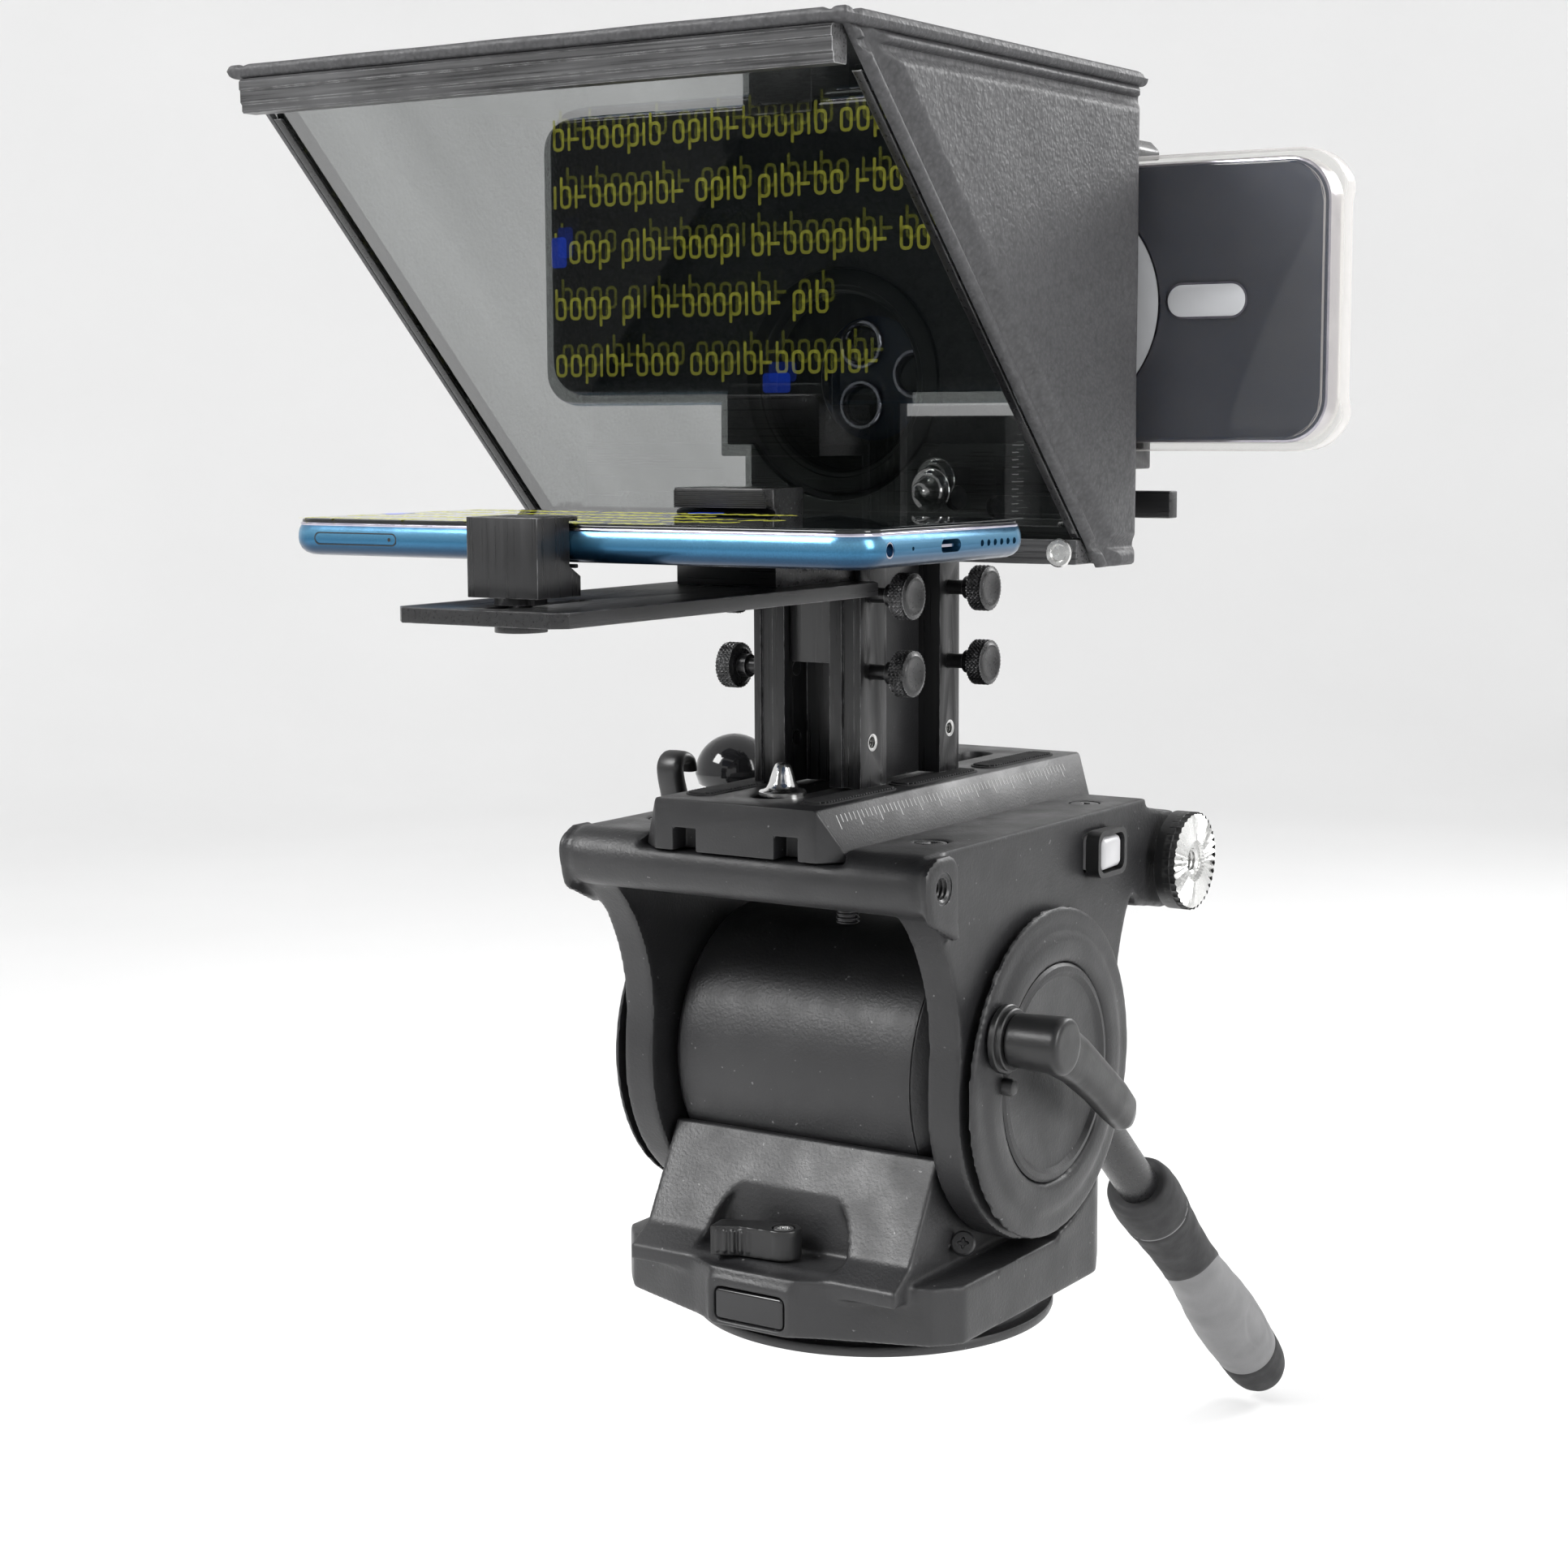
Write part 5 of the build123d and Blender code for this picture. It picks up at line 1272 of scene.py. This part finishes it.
# ---- tilt lock ----
COLLAR_LOW, COLLAR_HIGH = box_mm("tilt_lock_collar")
ly, lz = (COLLAR_LOW.y + COLLAR_HIGH.y) / 2, (COLLAR_LOW.z + COLLAR_HIGH.z) / 2
bm = bmesh.new()
lathe(bm, [(-9, 3.0), (0.0, 3.0), (0.0, 8.6), (0.5, 9.0), (1.7, 9.0), (2.0, 8.7), (2.1, 8.1), (3.2, 8.1),
           (3.5, 7.8),
           (3.5, 6.2)], (ARM_X + 0.5, ly, lz), (1, 0, 0), 72)
piece("tilt_lock_collar_turned", bm, "tilt_lock", PLASTIC, ("tilt_lock_collar",), 30)

hub_x = box_mm("tilt_lock_lever")[1].x


def lever_details(bm):
    lathe(bm, [(4.0, 6.6), (4.6, 7.0), (12, 7.3), (18.0, 7.6), (19.0, 7.2), (19.5, 6.3), (19.5, 0.05)],
          (ARM_X, ly, lz), (1, 0, 0), 64)
    path = [(0, 0, 67.0, 7.4, 5.0), (9, -2.5, 67.2, 7.2, 4.9), (20, -8.5, 67.4, 6.4, 4.5),
            (32, -16.5, 67.5, 5.8, 4.1),
            (42, -23.5, 67.4, 5.8, 3.9), (49, -28.5, 67.2, 5.2, 3.5), (52.0, -30.6, 67.1, 3.2, 2.3)]
    loops = []
    for i, (y, z, x, wide, thick) in enumerate(path):
        p, q = path[max(i - 1, 0)], path[min(i + 1, len(path) - 1)]
        way = Vector((q[0] - p[0], q[1] - p[1])).normalized()
        across = Vector((-way.y, way.x))
        loop = []
        for k in range(32):
            c, s = cos(2 * pi * k / 32), sin(2 * pi * k / 32)
            u, v = abs(c) ** 0.75 * (1 if c > 0 else -1), abs(s) ** 0.75 * (1 if s > 0 else -1)
            loop.append((x + thick * v, ly + y + across.x * wide * u, lz + z + across.y * wide * u))
        loops.append(loop)
    skin(bm, loops)


bm = bmesh.new()
lever_details(bm)
lever = piece("tilt_lock_handle", bm, "tilt_lock", PLASTIC, ("tilt_lock_lever",))
remesh = lever.modifiers.new("melt", "REMESH")
remesh.mode, remesh.voxel_size = "VOXEL", 0.42 * MM
relax = lever.modifiers.new("relax", "SMOOTH")
relax.factor, relax.iterations = 0.5, 8
bake(lever)
dressed(lever, "tilt_lock", PLASTIC, ("tilt_lock_lever",), 60)
cut = bmesh.new()
lathe(cut, [(-2.6, 4.3), (0.2, 4.3), (2.0, 4.5)], (hub_x - 0.1, ly, lz), (1, 0, 0), 48)
carve(lever, cut)
bm = bmesh.new()
lathe(bm, [(-3.0, 3.9), (-1.6, 3.9), (-1.2, 3.6), (-1.1, 2.2), (-2.4, 2.0), (-2.4, 0.05)],
      (hub_x - 0.1, ly, lz),
      (1, 0, 0), 48, lambda angle, d, r: 0.0 if r > 2.5 or r < 1 else 0.22 * cos(6 * angle))
piece("tilt_lock_screw_turned", bm, "tilt_lock", STEEL, ("tilt_lock_screw",))
bm = bmesh.new()
lathe(bm, [(-1.5, 2.3), (3.2, 2.3), (3.9, 1.9), (4.1, 1.2), (4.1, 0.05)], (ARM_X, ly, lz - 12.5), (1, 0, 0),
      32)
piece("tilt_lock_stop", bm, "tilt", PLASTIC)

# ---- rosettes ----
ROSE_LOW, ROSE_HIGH = box_mm("rosettes")
ry, rz = (ROSE_LOW.y + ROSE_HIGH.y) / 2, (ROSE_LOW.z + ROSE_HIGH.z) / 2
rr, rx = (ROSE_HIGH.z - ROSE_LOW.z) / 2, ROSE_HIGH.x
BOSS_X = box_mm("rosette_bosses")[1].x
TEETH = 36
for side, label in ((1, "right"), (-1, "left")):
    bm = bmesh.new()
    bore_r = 3.2 if side > 0 else 2.6
    steps = TEETH * 4
    tooth = [0.0, 0.5, 1.0, 0.5]
    rings = [(bore_r, -1.7, 0), (bore_r + 0.5, -1.25, 0), (5.3, -1.2, 0), (5.5, -0.9, 0.1),
             (5.9, -0.55, 0.55),
             (rr - 1.0, -0.95, 0.95), (rr - 0.1, -1.1, 0.9), (rr, -1.5, 0.5), (rr, -4.0, 0)]
    loops = []
    for r, depth, share in rings:
        loops.append([(side * (rx + depth + share * tooth[k % 4]), ry + r * cos(2 * pi * k / steps),
                       rz + r * sin(2 * pi * k / steps)) for k in range(steps)])
    loops.append([(side * (rx - 4.0), ry + bore_r * cos(2 * pi * k / steps),
                   rz + bore_r * sin(2 * pi * k / steps))
                  for k in range(steps)])
    skin(bm, loops + loops[:1], caps=False)
    bmesh.ops.remove_doubles(bm, verts=bm.verts, dist=1e-4)
    for y in (-7.6, 7.6):
        lathe(bm, [(-1.4, 1.5), (-0.25, 1.5), (-0.15, 1.3), (-0.3, 0.05)], (side * rx, ry + y, rz + 0.6),
              (side, 0, 0), 20)
    piece(f"rosette_{label}", bm, "tilt", STEEL, ("rosettes",), 18)
    bm = bmesh.new()
    saw = lambda angle, d, r: 0.0 if d < 3.4 or r < 13 else -0.55 * abs(sin(angle * TEETH / 2))
    profile = [(-1.2, bore_r + 0.1), (-1.2, 14.0), (0.4, 14.0),
               (3.3, 14.0)] + [(3.5 + 0.3 * k, 14.0) for k in range(6)]
    profile += [(BOSS_X - ARM_X - 0.25, 14.0), (BOSS_X - ARM_X, 13.7), (BOSS_X - ARM_X, bore_r + 0.1)]
    rings = []
    for d, r in profile:
        rings.append([(side * (ARM_X + d), ry + (r + saw(2 * pi * k / 216, d, r)) * cos(2 * pi * k / 216),
                       rz + (r + saw(2 * pi * k / 216, d, r)) * sin(2 * pi * k / 216)) for k in range(216)])
    skin(bm, rings + rings[:1], caps=False)
    bmesh.ops.remove_doubles(bm, verts=bm.verts, dist=1e-4)
    piece(f"rosette_boss_{label}", bm, "tilt", PLASTIC, ("rosette_bosses",), 24)
bm = bmesh.new()
thread(bm, (rx - 1.3, ry, rz), (-1, 0, 0), 3.2, 15, 0.2)
piece("rosette_thread", bm, "tilt", STEEL)

# ---- plate clamp ----
FLIP_LOW = box_mm("plate_clamp_lever")[0]
fy, fz = -12.0, 131.0
bm = bmesh.new()
lathe(bm, [(0, 5.6), (0.7, 6.4), (7.8, 6.4), (8.6, 5.8), (8.7, 3.0), (16.8, 3.0)], (FLIP_LOW.x, fy, fz),
      (1, 0, 0), 48)
centre = [(fy + 0.2, fz + 2), (fy - 0.6, fz + 8), (fy - 2.4, fz + 14), (fy - 2.6, fz + 17.6),
          (fy - 0.2, fz + 19.6),
          (fy + 3.2, fz + 18.6), (fy + 4.4, fz + 15.4)]
loops = []
line = spline([(0, y, z) for y, z in centre], 36)
for i, p in enumerate(line):
    q0, q1 = line[max(i - 1, 0)], line[min(i + 1, len(line) - 1)]
    way = (q1 - q0).normalized()
    across = Vector((0, -way.z, way.y))
    t = 2.7 - 1.3 * i / (len(line) - 1)
    loop = []
    for k in range(20):
        c, s = cos(2 * pi * k / 20), sin(2 * pi * k / 20)
        loop.append((FLIP_LOW.x + 4.5 + 4.1 * abs(c) ** 0.5 * (1 if c > 0 else -1), p.y + across.y * t * s,
                     p.z + across.z * t * s))
    loops.append(loop)
skin(bm, loops)
piece("flip_lever", bm, "plate_clamp", PLASTIC, ("plate_clamp_lever",), 40)

KNOB_LOW, KNOB_HIGH = box_mm("clamp_knob")
kx, ky, kr = (KNOB_LOW.x + KNOB_HIGH.x) / 2, (KNOB_LOW.y + KNOB_HIGH.y) / 2, (KNOB_HIGH.x - KNOB_LOW.x) / 2
kz = KNOB_HIGH.z - 3.5 - kr
bm = bmesh.new()
profile = [(-9.5, 0.05), (-9.5, 3.0), (-0.05, 3.0), (0.0, kr - 1.6), (0.4, kr - 1.0), (2.9, kr - 0.15),
           (3.3, kr), (3.7, kr)]
profile += [(3.7 + (kr - 0.25) * sin(radians(a)), kr * cos(radians(a))) for a in range(8, 90,
                                                                                       8)] + [(3.5 + kr,
                                                                                               0.05)]
lathe(bm, profile, (kx, ky, kz), (0, 0, 1), 96)
piece("clamp_knob_dome", bm, "clamp_knob", GLOSS, ("clamp_knob",), 40)

# ================= pan handle =================

TUBE_LOW, TUBE_HIGH = box_mm("handle_tube")
HANDLE_X = (TUBE_LOW.x + TUBE_HIGH.x) / 2
TUBE_R = (TUBE_HIGH.x - TUBE_LOW.x) / 2
TURN = radians(42)
DOWN = Vector((0, cos(TURN), -sin(TURN)))
START = Vector((HANDLE_X, 75 + 26.8 * sin(TURN), 119 + 26.8 * cos(TURN)))

handle_casting = cast("handle_clamp_cast", ["handle_clamp"], PLASTIC, 0.6, 7)
cut = bmesh.new()
lathe(cut, [(10, TUBE_R + 0.05), (60, TUBE_R + 0.05)], START, DOWN, 48)
carve(handle_casting, cut)
bm = bmesh.new()
lathe(bm, [(10.2, TUBE_R - 1.5), (10.2, TUBE_R), (319, TUBE_R), (319, TUBE_R - 1.5)], START, DOWN, 64)
piece("handle_tube_turned", bm, "handle", ANODISED_Y, ("handle_tube",), 40)
bm = bmesh.new()
lathe(bm, [(40.5, TUBE_R + 0.02), (40.5, 11.2), (41.0, 11.6), (45.5, 11.6), (46.2, 11.0),
           (46.2, TUBE_R + 0.02)], START,
      DOWN, 64)
piece("handle_collar", bm, "handle", RUBBER)

GRIP_PROFILE = [(279, 11.6), (281, 12.6), (285, 13.3), (291, 13.6), (300, 13.2), (312, 12.2), (326, 11.4),
                (340, 11.1),
                (352, 11.5), (366, 12.4), (380, 13.5), (392, 14.0), (404, 13.9), (414, 13.4), (421, 13.0)]


def grip_radius(at):
    for (a, ra), (b, rb) in zip(GRIP_PROFILE, GRIP_PROFILE[1:]):
        if a <= at <= b:
            return ra + (rb - ra) * smoothstep((at - a) / (b - a))
    return GRIP_PROFILE[-1][1] if at > 421 else GRIP_PROFILE[0][1]


u, v, along = axes_along(DOWN)
bm = bmesh.new()
loops = []
for k in range(73):
    at = 292 + (421 - 292) * k / 72
    loop = []
    for i in range(96):
        angle = 2 * pi * i / 96
        # Shallow oval finger panels on both sides.
        dent = 0.0
        for centre in (0.0, pi):
            gap = abs((angle - centre + pi) % (2 * pi) - pi)
            oval = ((at - 398) / 17) ** 2 + (gap * 13 / 7.5) ** 2
            dent = max(dent, 0.55 * smoothstep((1.0 - oval) / 0.22))
        r = grip_radius(at) - dent
        loop.append(START + along * at + (u * cos(angle) + v * sin(angle)) * r)
    loops.append(loop)
skin(bm, loops)
piece("grip_grey_body", bm, "handle", GRIP, ("handle_grip",), 40)

bm = bmesh.new()
loops = []
start_r = TUBE_R + 0.03


def sleeve_end(angle):
    """Where the dark sleeve stops: a slanted curve round the grip."""
    return 352 + 17 * cos(angle - 0.9) + 3 * cos(2 * (angle - 0.9))


for at, r in ((279.6, start_r), (279.0, 10.2), (279.0, 11.2)):
    loops.append(ring(START + along * at, u, v, r, 128))
for k in range(61):
    share = k / 60
    loop = []
    for i in range(128):
        angle = 2 * pi * i / 128
        at = 279.8 + (sleeve_end(angle) - 279.8) * share
        lift = 0.35 * (1 - smoothstep((share - 0.97) / 0.03)) if share > 0.97 else 0.35
        groove = -0.5 * smoothstep(1 - abs(at - 300.5) / 1.1) if abs(at - 300.5) < 1.1 else 0
        r = grip_radius(at) + lift + groove - 0.05
        loop.append(START + along * at + (u * cos(angle) + v * sin(angle)) * r)
    loops.append(loop)
loop = []
for i in range(128):
    angle = 2 * pi * i / 128
    at = sleeve_end(angle)
    loop.append(START + along * (at - 1.5) + (u * cos(angle) + v * sin(angle)) * (grip_radius(at) - 1.0))
loops.append(loop)
skin(bm, loops)
piece("grip_dark_sleeve", bm, "handle", RUBBER, ("handle_sleeve",), 40)
bm = bmesh.new()
END = 448.0
profile = [(420.6, 12.9), (421.0, 13.15), (424, 13.1), (430, 12.9), (436, 12.4), (440, 11.6), (443.4, 10.2),
           (446, 8.0),
           (447.5, 5.0), (END - 0.1, 2.0), (END, 0.05)]
lathe(bm, profile, START, DOWN, 80)
piece("grip_end_cap", bm, "handle", RUBBER, ("handle_cap",), 40)

HK_LOW, HK_HIGH = box_mm("handle_knob")
bm = bmesh.new()
lobes = lambda angle, d, r: 0.0 if r < 8 else 0.9 * (abs(cos(angle * 4)) - 1)
outer = -HK_LOW.x
profile = [(0, 0.05), (0, 6.5), (0.5, 8.6), (1.6, 10.4), (2.8, 11.0), (11.6, 11.0), (12.9, 10.2),
           (14.0, 8.4), (14.7, 6.0),
           (14.7, 2.5), (HK_HIGH.x - HK_LOW.x, 2.5), (HK_HIGH.x - HK_LOW.x, 0.05)]
lathe(bm, profile, (HK_LOW.x, ry, rz), (1, 0, 0), 128, lobes)
piece("handle_knob_lobed", bm, "handle_knob", PLASTIC, ("handle_knob",), 30)

# ================= camera phone, case and clamp =================

CAM_LOW, CAM_HIGH = box_mm("camera_phone")
cx, cz = (CAM_LOW.x + CAM_HIGH.x) / 2, (CAM_LOW.z + CAM_HIGH.z) / 2
cw, ch = CAM_HIGH.x - CAM_LOW.x, CAM_HIGH.z - CAM_LOW.z
y0, y1 = CAM_LOW.y, CAM_HIGH.y


def phone_face(shrink):
    return rectangle(CAM_LOW.x + shrink, CAM_HIGH.x - shrink, CAM_LOW.z + shrink, CAM_HIGH.z - shrink,
                     11 - shrink, 8)


bm = bmesh.new()
layered(bm, phone_face, [(y0 + 0.6, 0.55), (y0 + 0.75, 0.15), (y0 + 1.2, 0.0), (y1 - 1.2, 0.0),
                         (y1 - 0.75, 0.15),
                         (y1 - 0.6, 0.55)], on_y)
piece("camera_frame", bm, "camera_clamp", RIM, ("camera_phone",), 40)
bm = bmesh.new()
layered(bm, phone_face, [(y0 + 0.7, 0.6), (y0 + 0.3, 0.6), (y0 + 0.1, 0.9), (y0, 1.5)], on_y)
piece("camera_back_glass", bm, "camera_clamp", BACK_GLASS, (), 50)
bm = bmesh.new()
layered(bm, phone_face, [(y1 - 0.7, 0.6), (y1 - 0.3, 0.6), (y1 - 0.1, 0.9), (y1, 1.5)], on_y)
piece("camera_screen", bm, "camera_clamp", SCREEN, (), 50)

LENS_LOW, LENS_HIGH = box_mm("camera_lenses")
ix, iz, size = (LENS_LOW.x + LENS_HIGH.x) / 2, (LENS_LOW.z + LENS_HIGH.z) / 2, LENS_HIGH.x - LENS_LOW.x
bm = bmesh.new()
slab(bm, rectangle(ix - size / 2, ix + size / 2, iz - size / 2, iz + size / 2, 9, 8), y0 - 1.6, y0 + 0.3,
     on_y, 0.05, 3,
     low_edge=0.9)
piece("lens_island", bm, "camera_clamp", BACK_GLASS, ("camera_lenses",), 40)
bm = bmesh.new()
fronts = bmesh.new()
for x, z in ((-8, 8), (-8, -8), (8.5, 0)):
    lathe(bm, [(0, 6.6), (1.2, 6.6), (1.75, 6.3), (1.8, 5.6), (1.2, 5.2), (1.0, 5.0), (0, 5.0)],
          (ix + x, y0 - 1.6, iz + z), (0, -1, 0), 56)
    lathe(fronts, [(0, 5.05), (0.9, 5.05), (1.15, 4.2), (1.3, 2.5), (1.35, 0.05)],
          (ix + x, y0 - 1.6, iz + z), (0, -1, 0), 56)
for r, (x, z) in ((1.9, (9.0, 12.0)), (0.9, (9.0, -12.0))):
    lathe(bm, [(0, r), (0.25, r), (0.35, r - 0.3), (0.35, 0.05)], (ix + x, y0 - 1.6, iz + z), (0, -1, 0), 28)
piece("lens_rings", bm, "camera_clamp", RIM, (), 30)
piece("lens_fronts", fronts, "camera_clamp", LENS, (), 40)

# ---- clear case: a thin sheet over the back, a bumper round the sides and fuller corners ----


def case_outline(grow, corner=0.0):
    """The case's outline, pushed out at its four corners."""
    base = rectangle(CAM_LOW.x - grow, CAM_HIGH.x + grow, CAM_LOW.z - grow, CAM_HIGH.z + grow, 11 + grow, 10)
    out = []
    for x, z in base:
        near_side = min(1.0, max(0.0, (abs(x - cx) - cw / 2 + 15) / 13))
        near_end = min(1.0, max(0.0, (abs(z - cz) - ch / 2 + 15) / 13))
        push = corner * smoothstep(near_side * near_end * 1.3)
        out.append((x + (1 if x > cx else -1) * push, z + (1 if z > cz else -1) * push * 0.15))
    return out


bm = bmesh.new()
loops = [[on_y(x, z, y) for x, z in case_outline(grow, corner)] for y, grow, corner in
         ((-0.05, -1.2, 0.0), (-0.05, 0.25, 0), (7.85, 0.25, 0), (7.85, -1.4, 0), (8.45, -1.5, 0),
          (8.6, -0.9, 0.2),
          (8.5, 0.8, 1.4), (7.9, 1.8, 2.2), (6.6, 2.0, 2.45), (0.4, 2.0, 2.45), (-0.7, 1.8, 2.2),
          (-1.35, 1.0, 1.2),
          (-1.4, -0.9, 0.0), (-1.15, -1.2, 0.0))]
skin(bm, loops + loops[:1], caps=False)
bmesh.ops.remove_doubles(bm, verts=bm.verts, dist=1e-4)
piece("case_bumper", bm, "camera_clamp", CLEAR, ("clear_case",), 50)
bm = bmesh.new()
hole = rectangle(ix - size / 2 - 1, ix + size / 2 + 1, iz - size / 2 - 1, iz + size / 2 + 1, 10, 8)
outline = case_outline(-1.3)
# The sheet is a ring between the case's edge and the opening for the lenses.
count = 96


def resampled(points, n):
    """n points evenly spaced round a closed outline, starting at its right-hand side."""
    loop = points + points[:1]
    lengths = [0.0]
    for a, b in zip(loop, loop[1:]):
        lengths.append(lengths[-1] + (Vector(b) - Vector(a)).length)
    out, i = [], 0
    for k in range(n):
        want = lengths[-1] * k / n
        while lengths[i + 1] < want:
            i += 1
        f = (want - lengths[i]) / max(1e-9, lengths[i + 1] - lengths[i])
        out.append(tuple(Vector(loop[i]).lerp(Vector(loop[i + 1]), f)))
    return out


hoop(bm, resampled(outline, count), resampled(hole, count), -1.25, -0.75, on_y)
piece("case_sheet", bm, "camera_clamp", CLEAR, (), 50)

bm = bmesh.new()
mx, mz = 56.0, 272.5
hoop(bm, circle(mx, mz, 28.6, 128), circle(mx, mz, 22.4, 128), -1.7, -1.2, on_y)
slab(bm, pill(97.5, 273.0, 21.0, 8.0), -1.75, -1.2, on_y, 0.1, 2, low_edge=0.3)
piece("magnet_marks", bm, "camera_clamp", WHITE_MARK, (), 40)
bm = bmesh.new()
hoop(bm, circle(mx, mz, 29.0, 128), circle(mx, mz, 28.5, 128), -1.75, -1.2, on_y)
hoop(bm, pill(97.5, 273.0, 21.9, 8.9), pill(97.5, 273.0, 20.9, 7.9), -1.7, -1.2, on_y)
piece("magnet_rims", bm, "camera_clamp", RIM, (), 40)

refined("clamp_slider", ANODISED_Z, 0.5)
refined("upper_jaw", ANODISED_Z, 0.5)

# A soft black cup joins the aperture to the lenses.
bm = bmesh.new()
cup = [(-13.0, 29.4, 0.0), (-4.6, 29.4, 0.0), (-4.2, 29.0, 0.0), (-4.2, 16.6, 1.0), (-4.8, 16.4, 1.0),
       (-5.0, 27.4, 0.0),
       (-13.0, 27.4, 0.0)]
loops = [[(3 * t + r * cos(2 * pi * k / 96), y, 254 + t + r * sin(2 * pi * k / 96)) for k in range(96)]
         for y, r, t in cup]
skin(bm, loops + loops[:1], caps=False)
bmesh.ops.remove_doubles(bm, verts=bm.verts, dist=1e-4)
piece("lens_cup", bm, "prompter", LINING, (), 40)


low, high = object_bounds()
